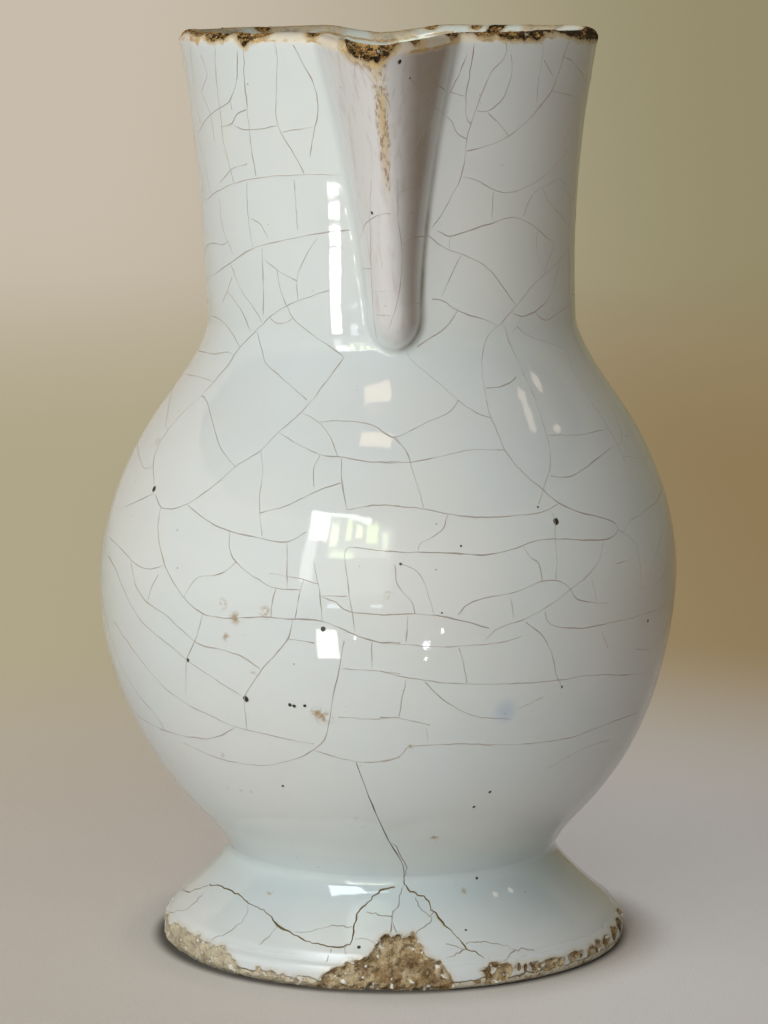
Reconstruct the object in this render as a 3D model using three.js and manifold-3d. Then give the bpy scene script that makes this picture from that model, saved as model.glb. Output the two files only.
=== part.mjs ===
// A hand-built faience oil jug: a foot ring, a belly and a neck, each thrown on the wheel and
// luted one on another, a beak spout set over a slit in the front of the neck, and a pulled
// strap handle at the back. Millimetres, +Z up, the beak towards -Y. The origin is on the
// surface that the jug stands on, under the centre of its outline seen from above.
import * as THREE from "three";
import { mergeVertices } from "three/addons/utils/BufferGeometryUtils.js";
import Module from "manifold-3d";

// Driving dimensions of the thrown body
const HEIGHT = 225; // rim above the table
const FOOT_RADIUS = 57.6; // widest part of the foot's edge
const FOOT_EDGE = 6; // height of the foot's rounded edge
const FOOT_FLARE = 17.2; // how far the foot spreads beyond the waist
const FOOT_CURVE = 1.35; // 1 is a straight cone, more is more hollow
const WAIST_RADIUS = 40.4;
const WAIST_HEIGHT = 24; // the belly is luted to the foot here
const BELLY_RADIUS = 71.8;
const BELLY_HEIGHT = 92; // height of the widest part of the belly
const BELLY_BELOW = 79.5; // half height of the lower ellipse
const BELLY_ABOVE = 72.7; // half height of the upper, fuller curve
const BELLY_FULLNESS = 1.76; // 2 is an ellipse
const NECK_SEAM = 148; // the neck is luted to the belly here
const NECK_RADIUS = 45.1;
const NECK_WAIST = 155; // height where the neck is narrowest
const RIM_FLARE = 6.1; // how far the rim spreads beyond the neck
const RIM_CURVE = 2.3;

// The handle reaches further back than the belly does forward, so to centre the jug's
// outline on the origin, its axis stands this far in front of it
const AXIS_FORWARD = 8.5;

// Walls and joints
const WALL = 5;
const FLOOR = 7; // thickness of the belly's floor
const FLOOR_CORNER = 6; // height of the rounded corner between floor and wall
const ROOT_BLEND = 11; // softness of the corner between neck and shoulder
const WAIST_BLEND = 8; // softness of the corner between foot and belly
const JOINT_GAP = 0.3; // room for slip under a piece that sits on a curved wall
const RING_INSIDE = 47; // inner radius of the foot ring where it stands
const RING_THROAT = 33; // inner radius of the foot ring under the belly
const RING_CURVE = 1.6; // how hollow the underside of the foot is
const STAND_ROUND = 2; // how far the bottom edge of the foot is rubbed round

// The beak spout, all along the neck from its tip at the shoulder to the rim
const SPOUT_TIP = 151; // height of the rounded lower tip
const SPOUT_ROUND = 8; // height over which the tip rounds off
const SPOUT_HALF_WIDTH = 6.3; // just above the tip
const SPOUT_SPREAD = 10.4; // how much each side spreads up to the rim
const SPOUT_SPREAD_CURVE = 1.5;
const SPOUT_REACH = 6.5; // how far the tip stands out of the neck
const BEAK_REACH = 12.5; // how much further the beak reaches at the rim
const BEAK_CURVE = 1.4;
const TIP_SHAPE = 2.3; // section of the tip: 2 is a parabola, more is squarer
const BEAK_SHAPE = 1.6; // section at the rim: 1 is a plain V
const BEAK_LEAN = -2.6; // the pouring point is pinched a little off centre
const LIP_DIP = 2.4; // how far the pouring point dips below the rim
const LIP_RISE = 5; // how sharply both of these come on near the rim
const SPOUT_WALL = 4;
const CHANNEL_FOOT = 163; // height where the pouring channel starts
const CHANNEL_ROUND = 14; // height over which the channel opens to its full width

// The handle, a strap pulled out of the clay and bent in one curve:
// each point is a distance behind the axis and a height
const HANDLE_ROUTE = [
  [42, 199],
  [55, 205],
  [71, 203],
  [82, 190],
  [85, 168],
  [81, 146],
  [73, 130],
  [60, 119],
];
const HANDLE_WIDTH = 27;
const HANDLE_TAPER = 5; // narrower by this much half way down
const HANDLE_THICKNESS = 10;
const HANDLE_THUMB = 1.6; // depth of the hollow down the strap's outside
const STRAP_SQUARE = 0.75; // section: 1 is an ellipse, less is squarer
const ROOT_SPREAD = 6; // the roots are pressed out by this much on each side
const ROOT_LENGTH = 0.22; // share of the handle's length that each root takes

// Facets
const TURN_STEPS = 60;
const ROW = 8; // height of a row of facets on a plain wall
const BELLY_ROW = 7;
const FINE_ROW = 3; // on the foot and where the neck meets the shoulder
const BEAK_ROW = 4;
const BEAK_STEPS = 14;
const HANDLE_STEPS = 30;
const STRAP_STEPS = 16;

const wasm = await Module();
wasm.setup();

// Outlines

// The larger of two radii, with the corner between them filled softly.
function blend(a, b, softness) {
  const near = Math.max(softness - Math.abs(a - b), 0) / softness;
  return Math.max(a, b) + (near * near * softness) / 4;
}

function bellyRadius(z) {
  const from = z - BELLY_HEIGHT;
  const share =
    from < 0
      ? (-from / BELLY_BELOW) ** 2
      : (from / BELLY_ABOVE) ** BELLY_FULLNESS;
  return BELLY_RADIUS * Math.sqrt(Math.max(1 - share, 0));
}

function neckRadius(z) {
  const up = Math.max(z - NECK_WAIST, 0) / (HEIGHT - NECK_WAIST);
  return NECK_RADIUS + RIM_FLARE * up ** RIM_CURVE;
}

function footRadius(z) {
  const down = Math.max(WAIST_HEIGHT - z, 0) / (WAIST_HEIGHT - FOOT_EDGE);
  return WAIST_RADIUS + FOOT_FLARE * down ** FOOT_CURVE;
}

// The outside of the whole thrown body above the foot's edge.
function bodyRadius(z) {
  return z > BELLY_HEIGHT
    ? blend(bellyRadius(z), neckRadius(z), ROOT_BLEND)
    : blend(bellyRadius(z), footRadius(z), WAIST_BLEND);
}

// A point of the wall, so deep under the outside, measured square to it.
function wallPoint(z, depth) {
  const step = 0.5;
  const slope = (bodyRadius(z + step) - bodyRadius(z - step)) / (2 * step);
  const length = Math.hypot(1, slope);
  return new THREE.Vector2(
    bodyRadius(z) - depth / length,
    z + (depth * slope) / length,
  );
}

// Even heights from one to another, at most a row apart.
function heights(from, to, row = ROW) {
  const count = Math.max(1, Math.ceil(Math.abs(to - from) / row));
  return Array.from({ length: count + 1 }, (_, i) => from + ((to - from) * i) / count);
}

// Points along an ellipse about a centre, from one angle to another in degrees.
function arc(centre, rx, ry, from, to, steps) {
  return Array.from({ length: steps + 1 }, (_, i) => {
    const turn = THREE.MathUtils.degToRad(from + ((to - from) * i) / steps);
    return new THREE.Vector2(
      centre.x + rx * Math.cos(turn),
      centre.y + ry * Math.sin(turn),
    );
  });
}

// Heights of the neck's rows, closer together where it bends into the shoulder.
function neckRows(top) {
  const bend = NECK_WAIST + FINE_ROW;
  return [...heights(NECK_SEAM, bend, FINE_ROW / 2), ...heights(bend, top).slice(1)];
}

// Solids

function solidOf(geometry) {
  const bare = geometry.clone();
  bare.deleteAttribute("uv");
  bare.deleteAttribute("normal");
  const merged = mergeVertices(bare, 1e-4);
  const corners = merged.index.array;
  const triangles = [];
  for (let i = 0; i < corners.length; i += 3) {
    const [a, b, c] = corners.slice(i, i + 3);
    if (a !== b && b !== c && c !== a) triangles.push(a, b, c);
  }
  return new wasm.Manifold(
    new wasm.Mesh({
      numProp: 3,
      vertProperties: merged.attributes.position.array,
      triVerts: new Uint32Array(triangles),
    }),
  );
}

function geometryOf(solid) {
  const mesh = solid.getMesh();
  const geometry = new THREE.BufferGeometry();
  geometry.setAttribute("position", new THREE.BufferAttribute(mesh.vertProperties, 3));
  geometry.setIndex(new THREE.BufferAttribute(mesh.triVerts, 1));
  geometry.computeVertexNormals();
  return geometry;
}

// Turns a closed outline, given anticlockwise as radius and height, about the jug's axis.
function thrown(outline) {
  const turned = new THREE.LatheGeometry([...outline, outline[0].clone()], TURN_STEPS);
  turned.rotateX(Math.PI / 2);
  return solidOf(turned);
}

// Joins closed rings of points, each with the same count, and closes both ends.
function loft(rings) {
  const count = rings[0].length;
  const corners = [];
  for (let r = 0; r + 1 < rings.length; r++) {
    for (let i = 0; i < count; i++) {
      const a = r * count + i;
      const b = r * count + ((i + 1) % count);
      corners.push(a, b, b + count, a, b + count, a + count);
    }
  }
  const last = (rings.length - 1) * count;
  for (let i = 1; i + 1 < count; i++) {
    corners.push(0, i + 1, i, last, last + i, last + i + 1);
  }
  const geometry = new THREE.BufferGeometry().setFromPoints(rings.flat());
  geometry.setIndex(corners);
  const solid = solidOf(geometry);
  if (solid.volume() < 0) throw new Error("a loft's rings run the wrong way round");
  return solid;
}

// The thrown body without its hollow, grown by a gap: what the added pieces are cut to fit.
function bodyCore(gap) {
  const rows = [...heights(BELLY_HEIGHT, NECK_SEAM, FINE_ROW), ...neckRows(HEIGHT).slice(1)];
  const side = rows.map((z) => new THREE.Vector2(bodyRadius(z) + gap, z));
  const bottom = new THREE.Vector2(0, BELLY_HEIGHT);
  return thrown([bottom, ...side, new THREE.Vector2(0, HEIGHT)]);
}

// The foot: a hollow ring that spreads from the waist to a rounded edge.
function makeFoot() {
  const edge = new THREE.Vector2(FOOT_RADIUS - STAND_ROUND, STAND_ROUND);
  const shoulder = new THREE.Vector2(FOOT_RADIUS - 2 * STAND_ROUND, FOOT_EDGE - STAND_ROUND);
  const outside = [
    ...arc(edge, STAND_ROUND, STAND_ROUND, -90, 0, 3),
    ...arc(shoulder, 2 * STAND_ROUND, 1.4 * STAND_ROUND, 0, 55, 3),
    ...heights(FOOT_EDGE + STAND_ROUND, WAIST_HEIGHT, FINE_ROW).map((z) => wallPoint(z, 0)),
  ];
  const underside = heights(WAIST_HEIGHT, 0, 2 * FINE_ROW).map((z) => {
    const down = 1 - z / WAIST_HEIGHT;
    const spread = (RING_INSIDE - RING_THROAT) * down ** RING_CURVE;
    return new THREE.Vector2(RING_THROAT + spread, z);
  });
  return thrown([...outside, ...underside]);
}

// The belly: thrown with its own floor, and open at the top where the neck goes on.
function makeBelly() {
  const outside = heights(WAIST_HEIGHT, NECK_SEAM, BELLY_ROW).map((z) => wallPoint(z, 0));
  const floorTop = WAIST_HEIGHT + FLOOR;
  const inside = heights(NECK_SEAM, floorTop + FLOOR_CORNER, BELLY_ROW).map((z) =>
    wallPoint(z, WALL),
  );
  inside[0].set(bodyRadius(NECK_SEAM) - WALL, NECK_SEAM);
  const last = inside[inside.length - 1];
  const reach = 2 * FLOOR_CORNER;
  const centre = new THREE.Vector2(last.x - reach, last.y);
  const corner = arc(centre, reach, last.y - floorTop, 0, -90, 4).slice(1);
  const middle = [new THREE.Vector2(0, floorTop), new THREE.Vector2(0, WAIST_HEIGHT)];
  return thrown([...outside, ...inside, ...corner, ...middle]);
}

// The neck: a collar with a rounded lip, before the slit for the spout is cut in it.
function makeCollar() {
  const half = WALL / 2;
  const lip = new THREE.Vector2(bodyRadius(HEIGHT) - half, HEIGHT - half);
  const outside = neckRows(lip.y).map((z) => new THREE.Vector2(bodyRadius(z), z));
  const inside = heights(lip.y, NECK_SEAM).map(
    (z) => new THREE.Vector2(bodyRadius(z) - WALL, z),
  );
  const round = arc(lip, half, half, 0, 180, 8).slice(1, -1);
  return thrown([...outside, ...round, ...inside]);
}

// How far up the spout a height is: 0 just above its tip and 1 at the rim.
function upSpout(z) {
  const foot = SPOUT_TIP + SPOUT_ROUND;
  return THREE.MathUtils.clamp((z - foot) / (HEIGHT - foot), 0, 1);
}

// How full the spout is: it rounds off over its lowest few millimetres.
function tipRound(z) {
  const into = THREE.MathUtils.clamp((z - SPOUT_TIP) / SPOUT_ROUND, 0, 1);
  return Math.sqrt(1 - (1 - into) ** 2);
}

function spoutHalfWidth(z) {
  return (SPOUT_HALF_WIDTH + SPOUT_SPREAD * upSpout(z) ** SPOUT_SPREAD_CURVE) * tipRound(z);
}

function spoutReach(z) {
  return (SPOUT_REACH + BEAK_REACH * upSpout(z) ** BEAK_CURVE) * tipRound(z);
}

// One ring of a beak: its nose in front of a wall of this radius, and a flat back behind it.
function beakRing(z, halfWidth, reach, wall) {
  const nearRim = upSpout(z) ** LIP_RISE;
  const ridge = BEAK_LEAN * nearRim;
  const shape = THREE.MathUtils.lerp(TIP_SHAPE, BEAK_SHAPE, upSpout(z));
  const nose = Array.from({ length: BEAK_STEPS + 1 }, (_, i) => {
    const x = ((2 * i) / BEAK_STEPS - 1) * halfWidth;
    const side = x < ridge ? halfWidth + ridge : halfWidth - ridge;
    const full = 1 - (Math.abs(x - ridge) / side) ** shape;
    const y = Math.sqrt(wall * wall - x * x) + reach * full;
    return new THREE.Vector3(x, -y, z - LIP_DIP * nearRim * full);
  });
  const back = -Math.sqrt(wall * wall - halfWidth * halfWidth) + WALL / 2;
  const corners = [halfWidth, -halfWidth].map((x) => new THREE.Vector3(x, back, z));
  return [...nose, ...corners];
}

// The beak as a solid tongue, with its lip rubbed round.
function makeBeak() {
  const shoulder = SPOUT_TIP + SPOUT_ROUND;
  const lip = HEIGHT - STAND_ROUND;
  const rows = [
    ...heights(SPOUT_TIP + 0.5, shoulder, BEAK_ROW / 2),
    ...heights(shoulder, lip, BEAK_ROW).slice(1),
  ];
  const rings = rows.map((z) => beakRing(z, spoutHalfWidth(z), spoutReach(z), bodyRadius(z)));
  for (const turn of [40, 80].map(THREE.MathUtils.degToRad)) {
    const z = lip + STAND_ROUND * Math.sin(turn);
    const inset = STAND_ROUND * (1 - Math.cos(turn));
    rings.push(beakRing(z, spoutHalfWidth(z) - inset, spoutReach(z) - inset, bodyRadius(z)));
  }
  return loft(rings);
}

// The pouring channel: up the inside of the beak and through the wall of the neck.
function makeChannel() {
  const rows = heights(CHANNEL_FOOT, HEIGHT + ROW, BEAK_ROW);
  const rings = rows.map((z) => {
    const into = THREE.MathUtils.clamp((z - CHANNEL_FOOT + 1) / CHANNEL_ROUND, 0, 1);
    const open = Math.sqrt(1 - (1 - into) ** 2);
    const halfWidth = (spoutHalfWidth(z) - SPOUT_WALL) * open;
    const reach = (spoutReach(z) + WALL - SPOUT_WALL) * open;
    return beakRing(z, halfWidth, reach, bodyRadius(Math.min(z, HEIGHT)) - WALL);
  });
  return loft(rings);
}

// One ring of the handle's strap about a point of its route.
function strapRing(centre, forward, halfWidth, halfThickness) {
  const outward = new THREE.Vector3(0, forward.z, -forward.y);
  return Array.from({ length: STRAP_STEPS }, (_, i) => {
    const turn = (2 * Math.PI * i) / STRAP_STEPS;
    const across = Math.cos(turn);
    const up = Math.sin(turn);
    const thumb = up < 0 ? HANDLE_THUMB * up ** 4 : 0;
    return centre
      .clone()
      .addScaledVector(outward, halfThickness * up + thumb)
      .setX(Math.sign(across) * Math.abs(across) ** STRAP_SQUARE * halfWidth);
  });
}

// The handle, a little long at both ends, before it is cut to sit on the wall.
function makeStrap() {
  const route = new THREE.CatmullRomCurve3(
    HANDLE_ROUTE.map(([y, z]) => new THREE.Vector3(0, y, z)),
    false,
    "centripetal",
  );
  const rings = Array.from({ length: HANDLE_STEPS + 1 }, (_, i) => {
    const along = i / HANDLE_STEPS;
    const fromEnd = Math.min(along, 1 - along) / ROOT_LENGTH;
    const root = ROOT_SPREAD * Math.max(1 - fromEnd, 0) ** 2;
    const width = HANDLE_WIDTH - HANDLE_TAPER * Math.sin(Math.PI * along);
    return strapRing(
      route.getPointAt(along),
      route.getTangentAt(along),
      width / 2 + root,
      (HANDLE_THICKNESS + root / 2) / 2,
    );
  });
  return loft(rings);
}

const core = bodyCore(JOINT_GAP);
const channel = makeChannel();
const solids = {
  foot: makeFoot(),
  belly: makeBelly(),
  neck: makeCollar().subtract(channel),
  spout: makeBeak().subtract(channel).subtract(core),
  handle: makeStrap().subtract(core),
};

const TIN_GLAZE = { color: 0xcdd3cf, roughness: 0.18, metalness: 0 };

const jug = new THREE.Group();
jug.name = "oil_jug";
for (const [name, solid] of Object.entries(solids)) {
  const mesh = new THREE.Mesh(geometryOf(solid), new THREE.MeshStandardMaterial(TIN_GLAZE));
  mesh.name = name;
  jug.add(mesh);
}

jug.position.y = -AXIS_FORWARD;

export default jug;
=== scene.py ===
# %% [markdown]
# # An old tin-glazed oil jug
# The jug is faience: coarse buff clay, thrown on a wheel and covered with a white glaze that
# tin oxide makes opaque. The foot, the belly and the neck were thrown apart and luted
# together, a beak was set over a slit in the neck, and a strap handle was pulled at the back.
# This lesson rebuilds each of those pieces as a mesh, chips the rim and the foot as two
# centuries of pouring have, and then spends most of its care on the glaze, which is crazed
# all over with fine dark lines.
#
# The imported CAD model is the frame: every piece is made in its coordinates, so nothing has to
# be fitted afterwards. The CAD nodes stay in the scene, hidden, and the box of the dressed jug
# is printed at the end.

# %% Load the frame
import math

import bmesh
import bpy
import numpy as np
from mathutils import Matrix, Vector, noise
from mathutils.bvhtree import BVHTree
from mathutils.kdtree import KDTree


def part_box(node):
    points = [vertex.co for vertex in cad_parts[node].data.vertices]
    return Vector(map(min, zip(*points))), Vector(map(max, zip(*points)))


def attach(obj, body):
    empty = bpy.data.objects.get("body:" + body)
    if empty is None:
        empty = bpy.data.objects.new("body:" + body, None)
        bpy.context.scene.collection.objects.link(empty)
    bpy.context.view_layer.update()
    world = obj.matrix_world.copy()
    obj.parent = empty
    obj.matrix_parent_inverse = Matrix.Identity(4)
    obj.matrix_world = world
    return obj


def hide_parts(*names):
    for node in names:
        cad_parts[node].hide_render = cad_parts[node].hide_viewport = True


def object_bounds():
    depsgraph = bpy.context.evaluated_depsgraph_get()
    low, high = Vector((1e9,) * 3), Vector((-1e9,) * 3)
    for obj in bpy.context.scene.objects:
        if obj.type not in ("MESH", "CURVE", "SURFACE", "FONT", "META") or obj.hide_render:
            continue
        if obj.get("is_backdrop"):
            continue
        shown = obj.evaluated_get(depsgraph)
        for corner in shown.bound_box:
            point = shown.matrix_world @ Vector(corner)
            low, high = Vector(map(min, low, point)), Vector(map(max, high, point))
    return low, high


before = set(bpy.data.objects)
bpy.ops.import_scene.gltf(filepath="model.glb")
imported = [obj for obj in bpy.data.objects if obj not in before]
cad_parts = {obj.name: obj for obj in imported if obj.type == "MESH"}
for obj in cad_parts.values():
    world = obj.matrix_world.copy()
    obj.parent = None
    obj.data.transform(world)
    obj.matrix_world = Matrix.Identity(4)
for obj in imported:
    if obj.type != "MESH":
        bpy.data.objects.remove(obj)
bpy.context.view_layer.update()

# %% [markdown]
# ## One set of sizes
# A potter's drawing is in millimetres, so the shapes below are too, measured from the jug's
# own axis, and they become metres only when a mesh is made. The heights of the two seams and
# the place of the axis come from the boxes of the CAD nodes. The curves use the same rules as
# the CAD source, because a piece that replaces a node has to stay where the node is.

# %% Sizes
MM = 0.001
foot_low, foot_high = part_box("foot")
_, belly_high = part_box("belly")
_, neck_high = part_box("neck")
AXIS_Y = (foot_low.y + foot_high.y) / 2 / MM  # the axis stands a little in front of the origin
FOOT_TOP = foot_high.z / MM
NECK_SEAM = belly_high.z / MM
HEIGHT = neck_high.z / MM
FOOT_RADIUS = foot_high.x / MM
BELLY_RADIUS = belly_high.x / MM - 0.5  # room for the wheel's unevenness inside the CAD box
BELLY_HEIGHT, BELLY_BELOW, BELLY_ABOVE, BELLY_FULLNESS = 92, 79.5, 72.7, 1.76
WAIST_RADIUS, FOOT_FLARE, FOOT_EDGE, FOOT_CURVE = 40.4, 17.2, 6, 1.35
NECK_RADIUS, NECK_WAIST, RIM_FLARE, RIM_CURVE = 45.1, 155, 6.1, 2.3
WALL, FLOOR = 5, 7
print("seams at", round(FOOT_TOP, 2), round(NECK_SEAM, 2), "axis at y", round(AXIS_Y, 2))

# %% [markdown]
# ## The camera
# The photograph was taken with a long lens from a little under a metre away, slightly above
# the rim and looking down. The place and the focal length were worked out from the ellipses
# of the rim and the foot. The same numbers turn a pixel of the photograph into a ray, which is
# how cracks and stains are put where they are seen and still lie on the clay.

# %% Camera
PICTURE_WIDE, PICTURE_TALL = 768, 1024
FOCAL_PIXELS = 3760.8
LENS_DOWN = math.radians(8.56)
CAMERA_AT = Vector((-1.45, -917.9 + AXIS_Y, 244.2)) * MM

camera_data = bpy.data.cameras.new("camera")
camera_data.sensor_width = 36
camera_data.lens = FOCAL_PIXELS * camera_data.sensor_width / PICTURE_TALL
camera_data.clip_start, camera_data.clip_end = 0.05, 20
camera = bpy.data.objects.new("camera", camera_data)
camera.location = CAMERA_AT
camera.rotation_euler = (math.pi / 2 - LENS_DOWN, 0, 0)
bpy.context.scene.collection.objects.link(camera)
bpy.context.scene.camera = camera
bpy.context.scene.view_settings.view_transform = "Standard"


def ray_through(u, v):
    """The direction in which the camera sees a pixel of the photograph."""
    seen = Vector((u - PICTURE_WIDE / 2, PICTURE_TALL / 2 - v, -FOCAL_PIXELS))
    return (camera.rotation_euler.to_matrix() @ seen).normalized()


print("lens", round(camera_data.lens, 1), "mm, at", [round(v, 3) for v in CAMERA_AT])

# %% [markdown]
# ## The stage
# The jug stands on pale linen. A round cove, flat in the middle and curved up all round,
# gives every view the same calm background and keeps the shadow under the foot. It is made
# by turning one outline, as the jug itself will be, so the helper that turns an outline comes
# first. Points at radius 0 become a single pole, and every shell is closed.

# %% Turning an outline
def new_object(name, mesh):
    """A mesh object at the origin, as every piece is."""
    made = bpy.data.objects.new(name, mesh)
    bpy.context.scene.collection.objects.link(made)
    return made


def mesh_object(name, points, faces):
    """A smooth mesh object from points in millimetres."""
    mesh = bpy.data.meshes.new(name)
    mesh.from_pydata((np.asarray(points, float) * MM).tolist(), [], faces)
    mesh.validate()
    mesh.polygons.foreach_set("use_smooth", [True] * len(mesh.polygons))
    return new_object(name, mesh)


def row_faces(rows, columns, closed):
    """Quads between rows of points that each run round the axis."""
    faces = []
    for r in range(rows if closed else rows - 1):
        here, above = r * columns, (r + 1) % rows * columns
        for c in range(columns):
            across = (c + 1) % columns
            faces.append((here + c, here + across, above + across, above + c))
    return faces


def turned(name, outline, columns, shaped=None):
    """Turns (radius, height) pairs, listed anticlockwise, about the jug's axis."""
    outline = np.array(outline, float)
    poles = [p for p in outline if p[0] < 1e-6]
    rows = outline[outline[:, 0] >= 1e-6]
    turn = np.arange(columns) * 2 * np.pi / columns
    points = np.stack([
        np.outer(rows[:, 0], np.sin(turn)),
        -np.outer(rows[:, 0], np.cos(turn)),
        np.repeat(rows[:, 1:], columns, axis=1),
    ], axis=-1).reshape(-1, 3)
    faces = row_faces(len(rows), columns, closed=not poles)
    for pole, first in zip(poles, (True, False)):
        start = 0 if first else (len(rows) - 1) * columns
        for c in range(columns):
            edge = (start + c, start + (c + 1) % columns)
            faces.append((len(points), *(edge[::-1] if first else edge)))
        points = np.vstack([points, [0, 0, pole[1]]])
    if shaped is not None:
        points = shaped(points)
    return mesh_object(name, points, faces)


# %% Floor and backdrop
COVE_FLAT, COVE_BEND, COVE_WALL = 1900, 600, 1500  # millimetres
bend = np.radians(np.linspace(0, 90, 13))
cove_outline = [(0, 0), (COVE_FLAT / 2, 0)]
cove_outline += [(COVE_FLAT + COVE_BEND * math.sin(t), COVE_BEND * (1 - math.cos(t))) for t in bend]
cove_outline.append((COVE_FLAT + COVE_BEND, COVE_WALL))
cove = turned("cove", cove_outline, 96)
cove.data.flip_normals()
cove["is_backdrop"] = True
print("cove", len(cove.data.polygons), "faces")

# %% [markdown]
# ## The light
# A glazed pot is a convex mirror, so its lamps show on it as shapes. Where a reflection lies
# gives the direction of its lamp, because the glaze there faces halfway between the eye and
# the lamp. Soft panels do the lighting: a window at the left front, a low cool fill, and warm
# fill from the left, from behind and from above. They don't show in the glaze. What does show
# comes from panels of its own, which light nothing else: the window's pane with its bright
# frame, the leaves of a garden, the doorstep with small sills and sparks beside it, the
# bright line along the beak, the pale patches of a lattice on the shoulder, and a highlight
# on the foot. The world adds an even, weak light.

# %% Soft panels
LIT_POINT = Vector((0, AXIS_Y, 105)) * MM


def paint(red, green, blue):
    """A colour as a picture shows it, 0 to 255, as the linear values that shaders use."""
    return tuple(((v / 255 + 0.055) / 1.055) ** 2.4 if v > 10 else v / 3294 for v in (red, green, blue))


def lamp(name, azimuth, elevation, distance, wide, tall, radiance, colour, at=LIT_POINT):
    """A soft panel seen from a point in a direction, 0 being towards the camera, in mm."""
    data = bpy.data.lights.new(name, "AREA")
    data.shape = "RECTANGLE"
    data.size, data.size_y = wide * MM, tall * MM
    data.energy = radiance * math.pi * data.size * data.size_y
    data.color = paint(*colour)
    made = bpy.data.objects.new(name, data)
    turn, lift = math.radians(azimuth), math.radians(elevation)
    towards = Vector((math.sin(turn) * math.cos(lift), -math.cos(turn) * math.cos(lift), math.sin(lift)))
    made.location = at + towards * distance * MM
    made.rotation_euler = towards.to_track_quat("Z", "Y").to_euler()
    made.visible_camera = False
    bpy.context.scene.collection.objects.link(made)
    return made


SOFT_PANELS = {
    # azimuth, elevation, distance, width, height, radiance and colour
    "window": (-7, 18.5, 1250, 860, 690, 3.7, (250, 250, 250)),
    "fill_low": (4, 2.5, 1100, 700, 110, 2.0, (226, 243, 255)),
    "fill_left": (-48, 20, 1400, 1200, 1200, 2.5, (251, 252, 248)),
    "fill_behind": (-128, 20, 1400, 1200, 1200, 0.4, (255, 246, 232)),
    "fill_back": (162, 30, 1400, 1200, 1200, 0.8, (255, 246, 232)),
    "fill_above": (-5, 62, 1000, 500, 500, 1.2, (255, 244, 222)),
}
for name, sizes in SOFT_PANELS.items():
    lamp(name, *sizes).visible_glossy = False

# %% Panels that show in the glaze
BELLY_FRONT, BELLY_LOW, FOOT_FRONT = (-10, -76, 106), (-15, -78, 86), (-8, -50, 19)
SHOULDER_FRONT, SHOULDER_RIGHT, NECK_FRONT = (-4, -61, 140), (36, -52, 135), (-13, -52, 170)
GLINTS = {
    # azimuths, elevations, from where, how far, radiance and colour
    "pane": ((-36, 1.7), (3, 33), BELLY_FRONT, 1300, 0.7, (248, 252, 255)),
    "frame_left": ((-36, -27), (23, 33.5), BELLY_FRONT, 1250, 6.5, (255, 255, 255)),
    "frame_low": ((-36, -31), (9, 23), BELLY_FRONT, 1250, 3, (250, 252, 250)),
    "frame_top": ((-27, -8), (32.2, 33.8), BELLY_FRONT, 1250, 7, (250, 255, 248)),
    "garden": ((-27, 1), (19, 32), BELLY_FRONT, 1280, 1.3, (230, 244, 210)),
    "leaf_left": ((-26, -22.5), (22, 31), BELLY_FRONT, 1200, 5.6, (232, 250, 200)),
    "leaf_second": ((-19, -16.5), (24, 32), BELLY_FRONT, 1200, 6.0, (216, 242, 150)),
    "leaf_middle": ((-14.5, -12), (26, 31.5), BELLY_FRONT, 1200, 7.2, (226, 248, 170)),
    "leaf_right": ((-10, -5), (23.5, 32), BELLY_FRONT, 1200, 5.4, (206, 236, 140)),
    "leaf_low": ((-25, -15), (18.5, 21.5), BELLY_FRONT, 1200, 4.0, (220, 242, 180)),
    "leaf_end": ((-3, -0.5), (22, 29), BELLY_FRONT, 1200, 3.6, (230, 246, 200)),
    "doorstep": ((-29, -19), (-24.5, -12), BELLY_LOW, 200, 8, (255, 255, 252)),
    "sill_left": ((-23.5, -18.5), (-2.2, 1), (-13, -79, 94), 1200, 4.5, (236, 246, 255)),
    "sill_right": ((-7, -2.5), (-2, 0.8), (-3, -80, 94), 1200, 3.5, (236, 246, 255)),
    "spark_left": ((-13.4, -12.4), (-17, -15.4), (-8, -79, 88), 200, 11, (255, 255, 255)),
    "spark_upper": ((20.4, 21.8), (-15.5, -12.4), (12, -79, 89), 220, 16, (255, 240, 236)),
    "spark_middle": ((14, 17), (-18.8, -17.6), (8, -79, 86), 180, 15, (240, 240, 255)),
    "spark_lower": ((15.6, 16.6), (-24.5, -22), (8, -79, 82), 140, 15, (255, 255, 255)),
    "lattice_front": ((-22, 0), (57.2, 62.4), SHOULDER_FRONT, 900, 3.9, (255, 226, 190)),
    "lattice_right": ((90, 95), (42, 45), SHOULDER_RIGHT, 900, 2.4, (255, 236, 212)),
    "lattice_edge": ((101, 106), (35, 37.5), SHOULDER_RIGHT, 900, 2.4, (255, 236, 212)),
    "streak": ((-35.7, -28.7), (-10.2, -6.1), NECK_FRONT, 700, 14, (255, 255, 252)),
    "foot_bright": ((-58, -27), (44, 62), FOOT_FRONT, 900, 9, (236, 248, 255)),
    "foot_tail": ((-27, -3), (55.5, 60), FOOT_FRONT, 900, 5, (226, 244, 255)),
}
for name, (azimuths, elevations, at, distance, radiance, colour) in GLINTS.items():
    azimuth, elevation = sum(azimuths) / 2, sum(elevations) / 2
    half_turn, half_lift = (math.radians(b - a) / 2 for a, b in (azimuths, elevations))
    wide = 2 * distance * math.tan(half_turn) * math.cos(math.radians(elevation))
    tall = 2 * distance * math.tan(half_lift)
    glint = lamp(name, azimuth, elevation, distance, wide, tall, radiance, colour, Vector(at) * MM)
    glint.visible_diffuse = False

world = bpy.data.worlds.new("studio")
bpy.context.scene.world = world
world.use_nodes = True
world.node_tree.nodes["Background"].inputs["Color"].default_value = (*paint(250, 246, 238), 1)
world.node_tree.nodes["Background"].inputs["Strength"].default_value = 0.03
print(len(SOFT_PANELS), "soft panels and", len(GLINTS), "that show in the glaze")

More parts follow.
